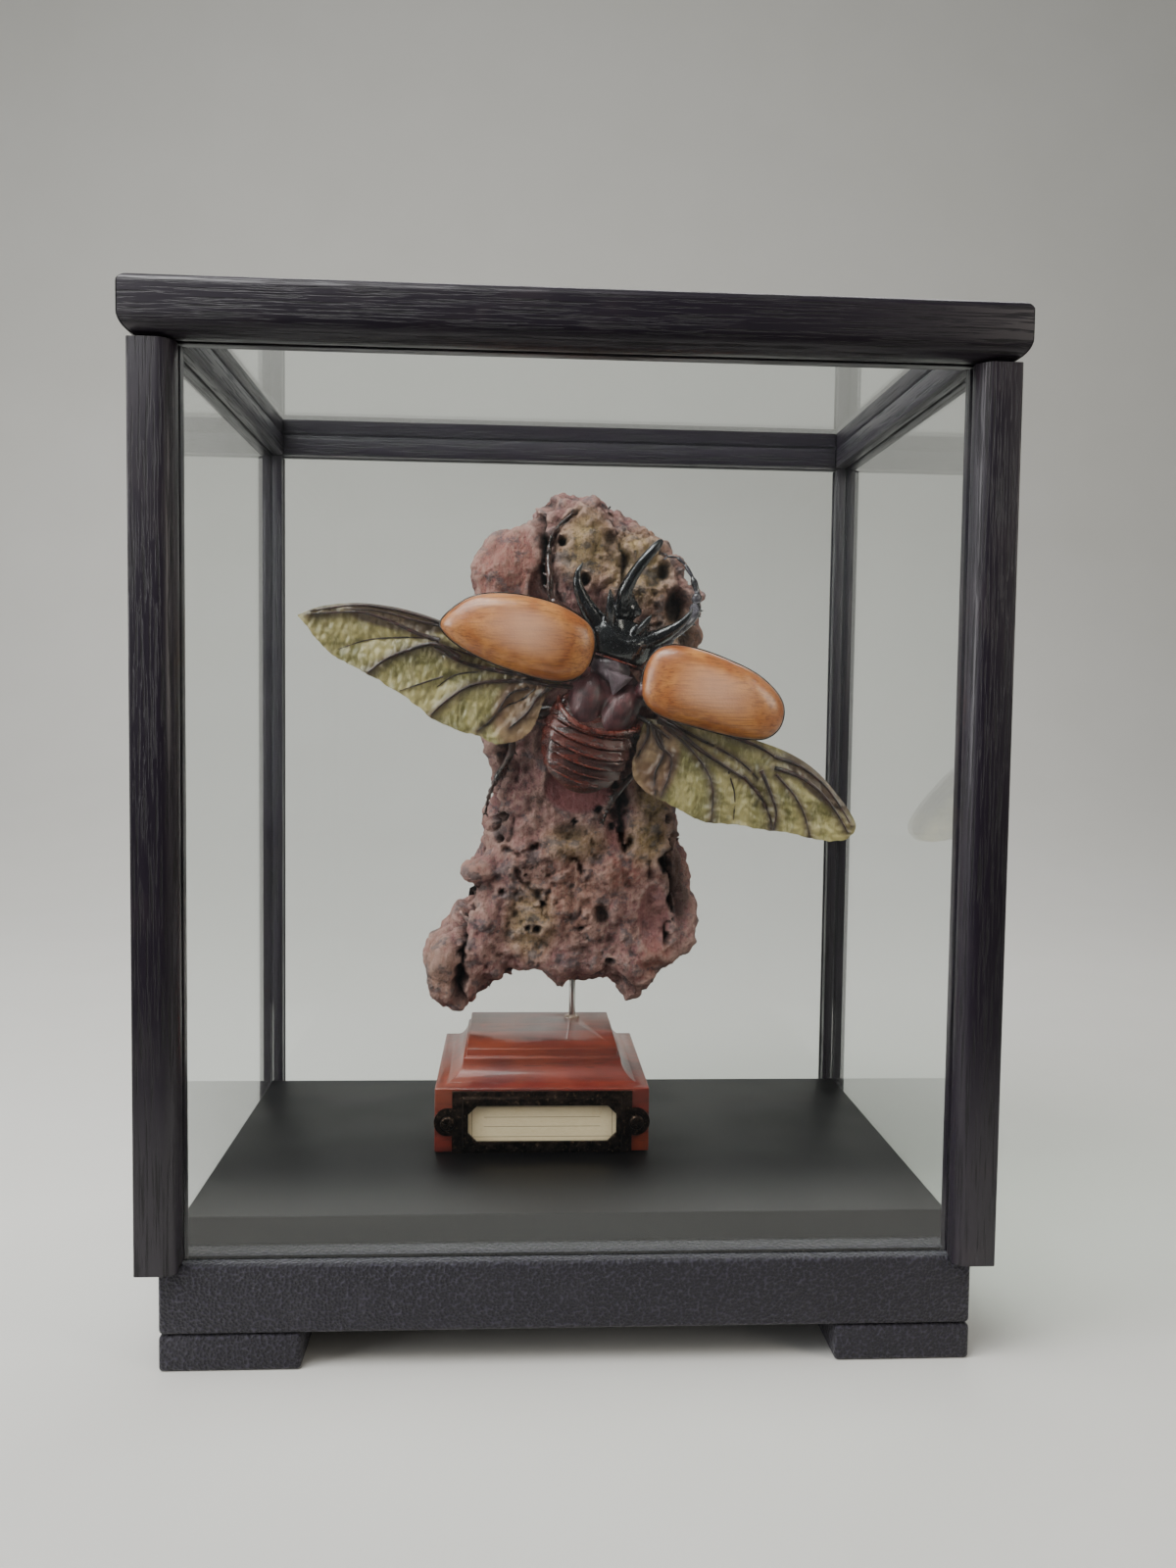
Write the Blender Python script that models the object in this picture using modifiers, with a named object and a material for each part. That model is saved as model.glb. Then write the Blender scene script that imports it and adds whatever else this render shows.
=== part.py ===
"""A glass showcase with a five-horned rhinoceros beetle mounted on driftwood.

The case is a hood of four posts, four mitred top rails and five panes. The hood stands on
a low base with four feet, around a raised floor board. Inside, a moulded plinth with a
card holder carries a steel rod, the rod carries the driftwood, and the beetle sits on the
driftwood with its wings spread. X runs along the front of the case, Y to its back, Z up.
"""

import math

import bmesh
import bpy
from mathutils import Matrix, Vector, noise

MM = 0.001
GAP = 0.3 * MM  # air left between two pieces that touch

# The case, measured over its posts
CASE_WIDTH = 170 * MM
CASE_DEPTH = 117 * MM
CASE_HEIGHT = 210.1 * MM
POST_SIDE = 8.6 * MM
POST_ROUND = 3.4 * MM
POST_LIP = 1.1 * MM  # how far a post's outer sides hang below the ledge
GLASS = 2 * MM
GLASS_INSET = 4 * MM  # from a post's outer face to the pane
GROOVE_DEPTH = 1.6 * MM

# The rails on top of the posts
RAIL_HEIGHT = 11 * MM
RAIL_WIDTH = 10.5 * MM
RAIL_OVERHANG = 1.4 * MM
RAIL_TOP_ROUND = 1.8 * MM
RAIL_LOWER_ROUND = 4 * MM
RAIL_GROOVE_DEPTH = 3 * MM
TOP_PANE_RISE = 5 * MM  # from the rails' underside to the groove of the top pane

# The base under the hood
FOOT_SIDE = 27.6 * MM
FOOT_HEIGHT = 7.1 * MM
BASE_WIDTH = 162 * MM
BASE_DEPTH = 112.4 * MM
LEDGE_HEIGHT = 21.3 * MM  # the top of the base board, which the hood stands on
FLOOR_HEIGHT = 27.5 * MM  # the top of the floor board inside the hood
FLOOR_WIDTH = 157.2 * MM
FLOOR_DEPTH = 93.4 * MM

# The plinth and its card holder
PLINTH_SIDE = 50 * MM
PLINTH_AT = Vector((-5.2 * MM, 13.5 * MM, FLOOR_HEIGHT + GAP))
PLINTH_BLOCK = 15 * MM
PLINTH_COVE = 5.5 * MM
PLINTH_STEP = 1.5 * MM
PLINTH_CAP = 2 * MM
HOLDER_SIZE = Vector((41.8, 14.4)) * MM
RAISED_SIZE = Vector((37.4, 12.4)) * MM
HOLDER_RISE = 7.3 * MM  # from the foot of the plinth to the middle of the holder
HOLDER_DEPTH = 1.9 * MM
HOLDER_WALL = 0.8 * MM
WINDOW_SIZE = Vector((34.3, 8.4)) * MM
WINDOW_CORNER = 2 * MM
EAR_RADIUS = 3.2 * MM
EAR_OUTSET = 1 * MM
EAR_THICKNESS = 0.7 * MM
CARD_SIZE = Vector((35.4, 10.4)) * MM
CARD_THICKNESS = 0.3 * MM
SCREW_HEAD = 1.7 * MM
SCREW_SHANK = 0.65 * MM
SCREW_LENGTH = 5 * MM
PILOT_RADIUS = 1 * MM

# The rod and the driftwood
ROD_RADIUS = 0.85 * MM
ROD_HOLE = 1.2 * MM
ROD_AT = Vector((3.2 * MM, 26 * MM, 0))
ROD_BOTTOM = 40 * MM
ROD_TOP = 74 * MM
WOOD_MIDDLE = 27 * MM
WOOD_THICKNESS = 23 * MM
WOOD_VOXEL = 4.2 * MM
WOOD_ROUGHNESS = 1 * MM

# The beetle's own frame: x to its right, y to its head, z away from the driftwood
BEETLE_AT = Vector((12.8, 8.8, 139.3)) * MM
BEETLE_LEAN = math.radians(17)
ELYTRON_LIFT = 5.7 * MM
ELYTRON_THICKNESS = 0.5 * MM
WING_LIFT = 1.4 * MM
WING_THICKNESS = 0.4 * MM

FINISHES = {
    "black_stained_wood": ("1D191C", 0.42, 0.0),
    "black_flocked_board": ("131217", 0.85, 0.0),
    "black_lacquer": ("0B090B", 0.12, 0.0),
    "clear_glass": ("F4F8F7", 0.02, 0.0),
    "red_mahogany": ("7C2B21", 0.25, 0.0),
    "antique_bronze": ("4A3A33", 0.35, 1.0),
    "cream_card": ("E3C9A4", 0.8, 0.0),
    "bright_steel": ("C9C6C4", 0.2, 1.0),
    "weathered_wood": ("8F7468", 0.9, 0.0),
    "black_chitin": ("0D0D10", 0.15, 0.0),
    "amber_chitin": ("C67F42", 0.3, 0.0),
    "brown_chitin": ("4B2119", 0.25, 0.0),
    "wing_membrane": ("8E8B4F", 0.3, 0.0),
}

# The driftwood seen from the front, in millimetres
WOOD_OUTLINE = (
    (-26, 53.5), (-34, 55), (-36, 62), (-35.5, 70), (-29.5, 75.5), (-27, 80.5),
    (-22.5, 84), (-25.5, 89.5), (-21, 93.5), (-18.5, 102), (-20, 112), (-22, 118),
    (-20.5, 140), (-22.5, 158), (-25, 167), (-23, 172), (-18, 176), (-9, 178.5),
    (-7.5, 182), (-3, 185.3), (9.5, 185), (11, 182), (17, 180), (24, 175),
    (31, 168.5), (37, 163), (34.5, 157), (34, 150), (31, 140), (28, 125),
    (29.5, 106), (31, 98), (35, 89), (36, 70.5), (29, 66.5), (24.5, 62.5),
    (21, 56.5), (16, 55), (14, 59.5), (-0.5, 59.5), (-8, 62.8), (-14, 62.5),
    (-17, 58.5), (-21.5, 54.5),
)  # fmt: skip

# The hindwings seen from above, in millimetres in the beetle's frame
LEFT_WING = (
    (-78, -9.8), (-73, -5.9), (-65.7, -2.8), (-58, -1.1), (-46, -0.5), (-30, -2),
    (-8, -5), (-8, -8.6), (-15.6, -12), (-16.9, -20.5), (-20, -23.4), (-24, -25.1),
    (-33, -24.6), (-39, -24), (-47.6, -20.8), (-58.3, -18.2), (-68.8, -15.9),
    (-75, -11.7),
)  # fmt: skip
RIGHT_WING = (
    (5, -5.6), (25, -3.6), (38.9, -3.6), (46.9, -5.3), (53.7, -7.2), (60.4, -11),
    (65.3, -14.6), (67.8, -18), (67, -20.5), (59.1, -23.5), (47.3, -24.9),
    (38.6, -25.9), (30.7, -27.8), (23.8, -26.4), (16.2, -25), (11.6, -22),
    (10.4, -13.6), (5, -9),
)  # fmt: skip

# The three ellipsoids of the body, in millimetres in the beetle's frame: middle and radii
BODY = {
    "abdomen": ((-2.5, -16, 0), (11.6, 13, 6.3)),
    "thorax": ((-1.5, -6, 0), (9.8, 9.3, 6.2)),
    "pronotum": ((-3.3, 8.8, 0), (9.7, 8, 6.3)),
}
BODY_SEGMENTS, BODY_RINGS = 18, 12

# Tapered tubes in the beetle's frame: x, y, z and radius in millimetres
HEAD_HORN = (
    (-4, 16.4, 1, 1.6), (-4.6, 20, 4, 1.2), (-3.7, 24.5, 5.6, 1.1),
    (-2.1, 30, 6.2, 0.95), (-1, 33.5, 6, 0.5),
)  # fmt: skip
PRONOTUM_HORNS = {
    "side_horn_left": (
        (-8, 10, 0, 2.2), (-12, 13, 2.4, 1.8), (-15.6, 16.6, 3.6, 1.3),
        (-16.9, 20, 4, 0.8), (-16.4, 23.3, 4, 0.25),
    ),
    "side_horn_right": (
        (2, 9, 0, 2.2), (5.6, 11.6, 2.6, 1.8), (8.8, 15, 3.8, 1.3),
        (10.6, 18, 4.4, 0.8), (11.6, 21, 4.6, 0.25),
    ),
    "front_horn_left": (
        (-6.3, 11, 3, 1.4), (-7, 14.5, 6.4, 1.1), (-8.4, 18.9, 8, 0.5),
    ),
    "front_horn_right": (
        (1, 11, 3, 1.4), (1.7, 13.6, 5.8, 1.1), (2.4, 15.4, 7, 0.5),
    ),
}  # fmt: skip
SHOULDERS = {  # each reaches under the edge of its wing case
    "shoulder_left": ((-4, -2, 2, 2), (-8.6, 0.2, 3.4, 1.2), (-11.2, 0.8, 5.9, 0.9)),
    "shoulder_right": ((1.5, -2, 2, 2), (6.1, 0.4, 3.4, 1.2), (8.8, 1, 5.9, 0.9)),
}
# Each leg starts inside the piece of the body that it is cut clear of
HIPS = {
    "foreleg_left": "pronotum", "foreleg_right": "pronotum", "midleg_left": "thorax",
    "midleg_right": "thorax", "hindleg_left": "abdomen", "hindleg_right": "abdomen",
}  # fmt: skip
LEGS = {
    "foreleg_left": (
        (-9.4, 8.4, -2.4, 1.2), (-20.4, 12.6, -4, 1.1), (-23.7, 19.3, -4.8, 1),
        (-25.6, 24, -5, 0.8), (-26, 28.1, -5, 0.7), (-24.8, 32, -5, 0.6),
        (-22.9, 35.1, -5, 0.4),
    ),
    "foreleg_right": (
        (3.6, 6.8, -1.6, 1.4), (9.4, 9.4, -2.6, 1.5), (8.6, 13.4, -2.8, 1.4), (8.6, 18.6, -3.2, 1.2),
        (9.8, 22, -4, 0.9), (9.2, 26.4, -4.6, 0.8), (6.4, 30.6, -5, 0.6),
        (4.2, 32.8, -5, 0.5), (2.8, 32.2, -5.2, 0.35),
    ),
    "midleg_left": (
        (-7.4, -3.6, -1.6, 1.3), (-19, 1, -4.4, 1.2), (-24, -4, -4.8, 1),
        (-28, -12, -5, 0.7), (-31, -18, -5, 0.4),
    ),
    "midleg_right": (
        (4.4, -4.6, -1.6, 1.3), (14, -1, -4.2, 1.2), (16.4, -8, -4.8, 1),
        (15.6, -17, -5, 0.7), (17, -22, -5, 0.4),
    ),
    "hindleg_left": (
        (-9.6, -14.6, -1.8, 1.4), (-21.6, -18, -4.4, 1.2), (-19.6, -25.4, -4.8, 0.9),
        (-21.1, -33.9, -5, 0.7), (-21.4, -38.2, -5, 0.6), (-20.9, -42.6, -5, 0.35),
    ),
    "hindleg_right": (
        (4.6, -14.6, -1.8, 1.4), (13, -17, -4.4, 1.2), (10.6, -24, -4.8, 0.9),
        (8.4, -30, -5, 0.7), (8, -36, -5, 0.4),
    ),
}  # fmt: skip


def clear_scene():
    for item in list(bpy.data.objects):
        bpy.data.objects.remove(item, do_unlink=True)


def new_collection(name):
    made = bpy.data.collections.new(name)
    bpy.context.scene.collection.children.link(made)
    return made


def linear(hex_colour):
    channels = [int(hex_colour[i : i + 2], 16) / 255 for i in (0, 2, 4)]
    return [c / 12.92 if c <= 0.04045 else ((c + 0.055) / 1.055) ** 2.4 for c in channels]


def make_finish(name, hex_colour, roughness, metallic):
    """A Principled material with one colour."""
    made = bpy.data.materials.new(name)
    made.use_nodes = True
    shader = made.node_tree.nodes["Principled BSDF"]
    shader.inputs["Base Color"].default_value = (*linear(hex_colour), 1)
    shader.inputs["Roughness"].default_value = roughness
    shader.inputs["Metallic"].default_value = metallic
    if name == "clear_glass":
        shader.inputs["Transmission Weight"].default_value = 1
    return made


def add_object(name, data, finish, place, is_cutter=False):
    item = bpy.data.objects.new(name, data)
    item.matrix_world = place
    if is_cutter:
        item.hide_render = True
        item.display_type = "WIRE"
        CUTTERS.objects.link(item)
    else:
        data.materials.append(MATERIALS[finish])
        PARTS.objects.link(item)
    return item


def mesh_of(bm, name):
    """The bmesh as a mesh, with its faces turned outwards, shaded smooth up to 40 degrees."""
    bmesh.ops.recalc_face_normals(bm, faces=bm.faces)
    mesh = bpy.data.meshes.new(name)
    bm.to_mesh(mesh)
    bm.free()
    mesh.shade_smooth()
    mesh.set_sharp_from_angle(angle=math.radians(40))
    return mesh


def box(name, low, high, finish, bevel=0.0, is_cutter=False):
    """A box between two corners, its edges rounded by bevel."""
    low, high = Vector(low), Vector(high)
    bm = bmesh.new()
    bmesh.ops.create_cube(bm, size=1)
    bmesh.ops.scale(bm, vec=high - low, verts=bm.verts)
    place = Matrix.Translation((low + high) / 2)
    item = add_object(name, mesh_of(bm, name), finish, place, is_cutter)
    if bevel:
        rounding = item.modifiers.new("Bevel", "BEVEL")
        rounding.width = bevel
        rounding.segments = 2
    return item


def ball(radii, segments, rings):
    """A bmesh ellipsoid round the origin."""
    bm = bmesh.new()
    bmesh.ops.create_uvsphere(bm, u_segments=segments, v_segments=rings, radius=1)
    bmesh.ops.scale(bm, vec=radii, verts=bm.verts)
    return bm


def slice_off(bm, point, normal):
    """Cuts away what lies beyond point along normal, and closes the cut."""
    everything = bm.verts[:] + bm.edges[:] + bm.faces[:]
    bmesh.ops.bisect_plane(
        bm, geom=everything, plane_co=point, plane_no=normal, clear_outer=True
    )
    bmesh.ops.holes_fill(bm, edges=[edge for edge in bm.edges if edge.is_boundary])


def arc(centre, radius, start, end, steps=6):
    """Points on an arc between two angles in degrees."""
    turns = [math.radians(start + (end - start) * i / steps) for i in range(steps + 1)]
    return [
        (centre[0] + radius * math.cos(turn), centre[1] + radius * math.sin(turn))
        for turn in turns
    ]


def flat_curve(outlines, thickness):
    """A filled 2D curve. An outline inside another is a hole."""
    curve = bpy.data.curves.new("outline", "CURVE")
    curve.dimensions = "2D"
    curve.fill_mode = "BOTH"
    curve.extrude = thickness / 2
    for outline in outlines:
        spline = curve.splines.new("POLY")
        spline.points.add(len(outline) - 1)
        for point, (x, y) in zip(spline.points, outline):
            point.co = (x, y, 0, 1)
        spline.use_cyclic_u = True
    return curve


def plate(name, outlines, thickness, finish, place):
    """A flat piece cut to an outline, as a curve object."""
    return add_object(name, flat_curve(outlines, thickness), finish, place)


def tube_curve(stations):
    """A tapered tube through x, y, z, radius stations in millimetres."""
    curve = bpy.data.curves.new("tube", "CURVE")
    curve.dimensions = "3D"
    curve.bevel_depth = MM
    curve.bevel_resolution = 2
    curve.use_fill_caps = True
    spline = curve.splines.new("POLY")
    spline.points.add(len(stations) - 1)
    for point, (x, y, z, radius) in zip(spline.points, stations):
        point.co = (x * MM, y * MM, z * MM, 1)
        point.radius = radius
    return curve


def solid_mesh(curve, name):
    """The mesh of a curve, its caps welded to its sides."""
    holder = bpy.data.objects.new(name, curve)
    CUTTERS.objects.link(holder)
    graph = bpy.context.evaluated_depsgraph_get()
    mesh = bpy.data.meshes.new_from_object(holder.evaluated_get(graph))
    bpy.data.objects.remove(holder, do_unlink=True)
    bm = bmesh.new()
    bm.from_mesh(mesh)
    bmesh.ops.remove_doubles(bm, verts=bm.verts, dist=1e-6)
    bpy.data.meshes.remove(mesh)
    return mesh_of(bm, name)


def boolean(item, operation, other):
    change = item.modifiers.new(other.name, "BOOLEAN")
    change.operation = operation
    change.object = other
    change.solver = "EXACT"


def drill(item, name, start, direction, radius, depth):
    """Cuts a blind round hole that starts outside the surface."""
    bm = bmesh.new()
    bmesh.ops.create_cone(
        bm, cap_ends=True, segments=16, radius1=radius, radius2=radius, depth=depth
    )
    direction = Vector(direction).normalized()
    turn = Vector((0, 0, 1)).rotation_difference(direction).to_matrix().to_4x4()
    place = Matrix.Translation(Vector(start) + direction * depth / 2) @ turn
    cutter = add_object(name, mesh_of(bm, name), None, place, is_cutter=True)
    boolean(item, "DIFFERENCE", cutter)


def make_base():
    half = Vector((BASE_WIDTH / 2, BASE_DEPTH / 2))
    bottom = FOOT_HEIGHT + GAP
    box(
        "base_board", (-half.x, -half.y, bottom), (half.x, half.y, LEDGE_HEIGHT),
        "black_flocked_board", bevel=0.5 * MM,
    )  # fmt: skip
    for side, left in (("left", -half.x), ("right", half.x - FOOT_SIDE)):
        for end, front in (("front", -half.y), ("back", half.y - FOOT_SIDE)):
            low = Vector((left, front, 0))
            high = low + Vector((FOOT_SIDE, FOOT_SIDE, FOOT_HEIGHT))
            box(f"foot_{end}_{side}", low, high, "black_flocked_board", bevel=0.5 * MM)
    box(
        "floor_board",
        (-FLOOR_WIDTH / 2, -FLOOR_DEPTH / 2, LEDGE_HEIGHT + GAP),
        (FLOOR_WIDTH / 2, FLOOR_DEPTH / 2, FLOOR_HEIGHT),
        "black_lacquer", bevel=0.3 * MM,
    )  # fmt: skip


def post_outline():
    """The section of the post at +X +Y, with a groove for each of its two panes."""
    outer = Vector((CASE_WIDTH / 2, CASE_DEPTH / 2))
    inner = outer - Vector((POST_SIDE, POST_SIDE))
    near = outer - Vector((1, 1)) * (GLASS_INSET - GAP)
    far = outer - Vector((1, 1)) * (GLASS_INSET + GLASS + GAP)
    side_round = (outer.x - POST_ROUND, inner.y + POST_ROUND)
    end_round = (inner.x + POST_ROUND, outer.y - POST_ROUND)
    return [
        (inner.x, inner.y),
        (far.x, inner.y),
        (far.x, inner.y + GROOVE_DEPTH),
        (near.x, inner.y + GROOVE_DEPTH),
        (near.x, inner.y),
        *arc(side_round, POST_ROUND, -90, 0),
        (outer.x, outer.y),
        *arc(end_round, POST_ROUND, 90, 180),
        (inner.x, near.y),
        (inner.x + GROOVE_DEPTH, near.y),
        (inner.x + GROOVE_DEPTH, far.y),
        (inner.x, far.y),
    ]


def make_posts(ledge, top):
    """Four posts that stand on the ledge, notched so that their outer sides reach past it."""
    half = Vector((BASE_WIDTH / 2 + GAP, BASE_DEPTH / 2 + GAP))
    notch = box(
        "ledge_notch", (-half.x, -half.y, 0), (half.x, half.y, ledge), None, is_cutter=True
    )
    section = post_outline()
    bottom = LEDGE_HEIGHT - POST_LIP
    place = Matrix.Translation((0, 0, (bottom + top) / 2))
    for side, across in (("left", -1), ("right", 1)):
        for end, along in (("front", -1), ("back", 1)):
            corner = [(x * across, y * along) for x, y in section]
            name = f"post_{end}_{side}"
            mesh = solid_mesh(flat_curve([corner], top - bottom), name)
            post = add_object(name, mesh, "black_stained_wood", place)
            boolean(post, "DIFFERENCE", notch)


def rail_outline():
    """The section of a rail: distance in from its outer face, height over its underside."""
    pane = RAIL_OVERHANG + GLASS_INSET
    groove_top = TOP_PANE_RISE + GLASS + 2 * GAP
    return [
        *arc((RAIL_LOWER_ROUND, RAIL_LOWER_ROUND), RAIL_LOWER_ROUND, -180, -90),
        (pane - GAP, 0),
        (pane - GAP, RAIL_GROOVE_DEPTH),
        (pane + GLASS + GAP, RAIL_GROOVE_DEPTH),
        (pane + GLASS + GAP, 0),
        (RAIL_WIDTH, 0),
        (RAIL_WIDTH, TOP_PANE_RISE),
        (RAIL_WIDTH - GROOVE_DEPTH, TOP_PANE_RISE),
        (RAIL_WIDTH - GROOVE_DEPTH, groove_top),
        (RAIL_WIDTH, groove_top),
        (RAIL_WIDTH, RAIL_HEIGHT),
        *arc((RAIL_TOP_ROUND, RAIL_HEIGHT - RAIL_TOP_ROUND), RAIL_TOP_ROUND, 90, 180),
    ]


def make_rails(underside):
    """Four lengths of one moulding, their ends cut at 45 degrees."""
    half_width = CASE_WIDTH / 2 + RAIL_OVERHANG
    half_depth = CASE_DEPTH / 2 + RAIL_OVERHANG
    inward_up_along = Matrix(((0, 0, 1, 0), (1, 0, 0, 0), (0, 1, 0, 0), (0, 0, 0, 1)))
    runs = (
        ("rail_front", 0, half_width, half_depth),
        ("rail_right", 90, half_depth, half_width),
        ("rail_back", 180, half_width, half_depth),
        ("rail_left", 270, half_depth, half_width),
    )
    for name, turn, half_length, outward in runs:
        mesh = solid_mesh(flat_curve([rail_outline()], 2 * half_length), name)
        for vertex in mesh.vertices:
            mitre = half_length - vertex.co.x - GAP
            vertex.co.z = math.copysign(mitre, vertex.co.z)
        place = (
            Matrix.Rotation(math.radians(turn), 4, "Z")
            @ Matrix.Translation((0, -outward, underside))
            @ inward_up_along
        )
        add_object(name, mesh, "black_stained_wood", place)


def make_glass(bottom, underside):
    """Four upright panes in the posts' grooves, and one across the top."""
    top = underside + RAIL_GROOVE_DEPTH - GAP
    across = CASE_WIDTH / 2 - POST_SIDE + GROOVE_DEPTH - GAP
    along = CASE_DEPTH / 2 - POST_SIDE + GROOVE_DEPTH - GAP
    for name, side in (("glass_front", -1), ("glass_back", 1)):
        middle = side * (CASE_DEPTH / 2 - GLASS_INSET - GLASS / 2)
        low, high = middle - GLASS / 2, middle + GLASS / 2
        box(name, (-across, low, bottom), (across, high, top), "clear_glass")
    for name, side in (("glass_left", -1), ("glass_right", 1)):
        middle = side * (CASE_WIDTH / 2 - GLASS_INSET - GLASS / 2)
        low, high = middle - GLASS / 2, middle + GLASS / 2
        box(name, (low, -along, bottom), (high, along, top), "clear_glass")
    inset = RAIL_WIDTH - RAIL_OVERHANG - GROOVE_DEPTH + GAP
    half = Vector((CASE_WIDTH / 2 - inset, CASE_DEPTH / 2 - inset))
    low = underside + TOP_PANE_RISE + GAP
    box("glass_top", (-half.x, -half.y, low), (half.x, half.y, low + GLASS), "clear_glass")


def raise_face(bm, face, rise, inset):
    """Pulls a square face up and in, and returns the new one."""
    moved = bmesh.ops.extrude_discrete_faces(bm, faces=[face])["faces"][0]
    side = moved.edges[0].calc_length()
    centre = moved.calc_center_median()
    shrink = 1 - 2 * inset / side
    bmesh.ops.scale(
        bm, vec=(shrink, shrink, 1), verts=moved.verts, space=Matrix.Translation(-centre)
    )
    bmesh.ops.translate(bm, vec=(0, 0, rise), verts=moved.verts)
    return moved


def make_plinth():
    """A square block, a cove above it, a step and a flat cap, drilled for rod and screws."""
    bm = bmesh.new()
    bmesh.ops.create_grid(bm, x_segments=1, y_segments=1, size=PLINTH_SIDE / 2)
    face = raise_face(bm, bm.faces[:][0], PLINTH_BLOCK, 0)
    face = raise_face(bm, face, 0, PLINTH_STEP / 2)
    steps = 6
    for i in range(steps):
        turn, next_turn = (math.pi / 2 * j / steps for j in (i, i + 1))
        inset = PLINTH_COVE * (math.sin(next_turn) - math.sin(turn))
        rise = PLINTH_COVE * (math.cos(turn) - math.cos(next_turn))
        face = raise_face(bm, face, rise, inset)
    face = raise_face(bm, face, 0, PLINTH_STEP / 2)
    raise_face(bm, face, PLINTH_CAP, 0)
    bmesh.ops.holes_fill(bm, edges=[edge for edge in bm.edges if edge.is_boundary])
    plinth = add_object("plinth", mesh_of(bm, "plinth"), "red_mahogany",
                        Matrix.Translation(PLINTH_AT))  # fmt: skip
    top = PLINTH_AT.z + PLINTH_BLOCK + PLINTH_COVE + PLINTH_CAP
    start = Vector((ROD_AT.x, ROD_AT.y, top + MM))
    drill(plinth, "rod_socket", start, (0, 0, -1), ROD_HOLE, start.z - ROD_BOTTOM + MM)
    for side, x in screw_places():
        start = Vector((x, holder_back() - MM, holder_middle()))
        drill(plinth, f"pilot_{side}", start, (0, 1, 0), PILOT_RADIUS, SCREW_LENGTH + 2 * MM)


def holder_middle():
    return PLINTH_AT.z + HOLDER_RISE


def holder_back():
    """The plane where the card holder meets the plinth."""
    return PLINTH_AT.y - PLINTH_SIDE / 2 - GAP


def screw_places():
    reach = HOLDER_SIZE.x / 2 + EAR_OUTSET
    return (("left", PLINTH_AT.x - reach), ("right", PLINTH_AT.x + reach))


def chamfered(size, corner):
    """A rectangle round the origin with its corners cut off."""
    x, y = size / 2
    points = []
    for across, along in ((1, 1), (-1, 1), (-1, -1), (1, -1)):
        ends = [(across * x, along * (y - corner)), (across * (x - corner), along * y)]
        points += ends if across == along else ends[::-1]
    return points


def make_card_holder():
    """A stamped frame with a window and two screw ears, the card behind the window."""
    facing = Matrix.Rotation(math.radians(90), 4, "X")
    middle = Vector((PLINTH_AT.x, 0, holder_middle()))
    half = HOLDER_SIZE / 2
    lip = math.degrees(math.acos(-EAR_OUTSET / EAR_RADIUS))
    rise = math.sqrt(EAR_RADIUS**2 - EAR_OUTSET**2)
    ear_x = half.x + EAR_OUTSET
    ears = [
        (half.x, -half.y), (half.x, -rise), *arc((ear_x, 0), EAR_RADIUS, -lip, lip, 12),
        (half.x, rise), (half.x, half.y), (-half.x, half.y), (-half.x, rise),
        *arc((-ear_x, 0), EAR_RADIUS, 180 - lip, 180 + lip, 12), (-half.x, -rise),
        (-half.x, -half.y),
    ]  # fmt: skip
    ears = [p for i, p in enumerate(ears) if (Vector(p) - Vector(ears[i - 1])).length > 1e-7]
    holes = [arc((x, 0), PILOT_RADIUS, 0, 330, 11) for x in (ear_x, -ear_x)]

    def layer(name, outlines, back, thickness, is_cutter=True):
        place = Matrix.Translation(middle + Vector((0, back - thickness / 2, 0))) @ facing
        mesh = solid_mesh(flat_curve(outlines, thickness), name)
        return add_object(name, mesh, "antique_bronze", place, is_cutter)

    back = holder_back()
    frame = layer("card_holder", [ears, *holes], back, EAR_THICKNESS, is_cutter=False)
    boolean(frame, "UNION", layer("raised_front", [chamfered(RAISED_SIZE, 0.4 * MM)],
                                  back, HOLDER_DEPTH))  # fmt: skip
    pocket_size = RAISED_SIZE - Vector((2, 2)) * HOLDER_WALL
    boolean(frame, "DIFFERENCE", layer("card_pocket", [chamfered(pocket_size, 0.2 * MM)],
                                       back + MM, HOLDER_DEPTH - HOLDER_WALL + MM))  # fmt: skip
    boolean(frame, "DIFFERENCE", layer("window", [chamfered(WINDOW_SIZE, WINDOW_CORNER)],
                                       back + MM, HOLDER_DEPTH + 2 * MM))  # fmt: skip
    card = Vector((CARD_SIZE.x, 0, CARD_SIZE.y)) / 2
    front = Vector((0, back - CARD_THICKNESS, 0))
    box("card", middle - card + front, middle + card + front + Vector((0, CARD_THICKNESS, 0)),
        "cream_card")  # fmt: skip


def turned(name, profile, steps, finish, place):
    """A profile of radius and height, from the top down, turned round Z."""
    bm = bmesh.new()
    points = [bm.verts.new((radius, 0, height)) for radius, height in profile]
    for start, end in zip(points, points[1:]):
        bm.edges.new((start, end))
    mesh = bpy.data.meshes.new(name)
    bm.to_mesh(mesh)
    bm.free()
    item = add_object(name, mesh, finish, place)
    spin = item.modifiers.new("Screw", "SCREW")
    spin.steps = spin.render_steps = steps
    spin.use_merge_vertices = True
    spin.merge_threshold = 1e-6
    spin.use_smooth_shade = True


def make_screws():
    dome = [(SCREW_HEAD * math.sin(math.pi / 8 * i), 0.9 * MM * math.cos(math.pi / 8 * i))
            for i in range(5)]  # fmt: skip
    profile = [*dome, (SCREW_SHANK, 0), (SCREW_SHANK, -SCREW_LENGTH), (0, -SCREW_LENGTH)]
    front = holder_back() - EAR_THICKNESS - GAP
    for side, x in screw_places():
        place = Matrix.Translation((x, front, holder_middle()))
        place = place @ Matrix.Rotation(math.radians(90), 4, "X")
        turned(f"card_screw_{side}", profile, 16, "antique_bronze", place)


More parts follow.
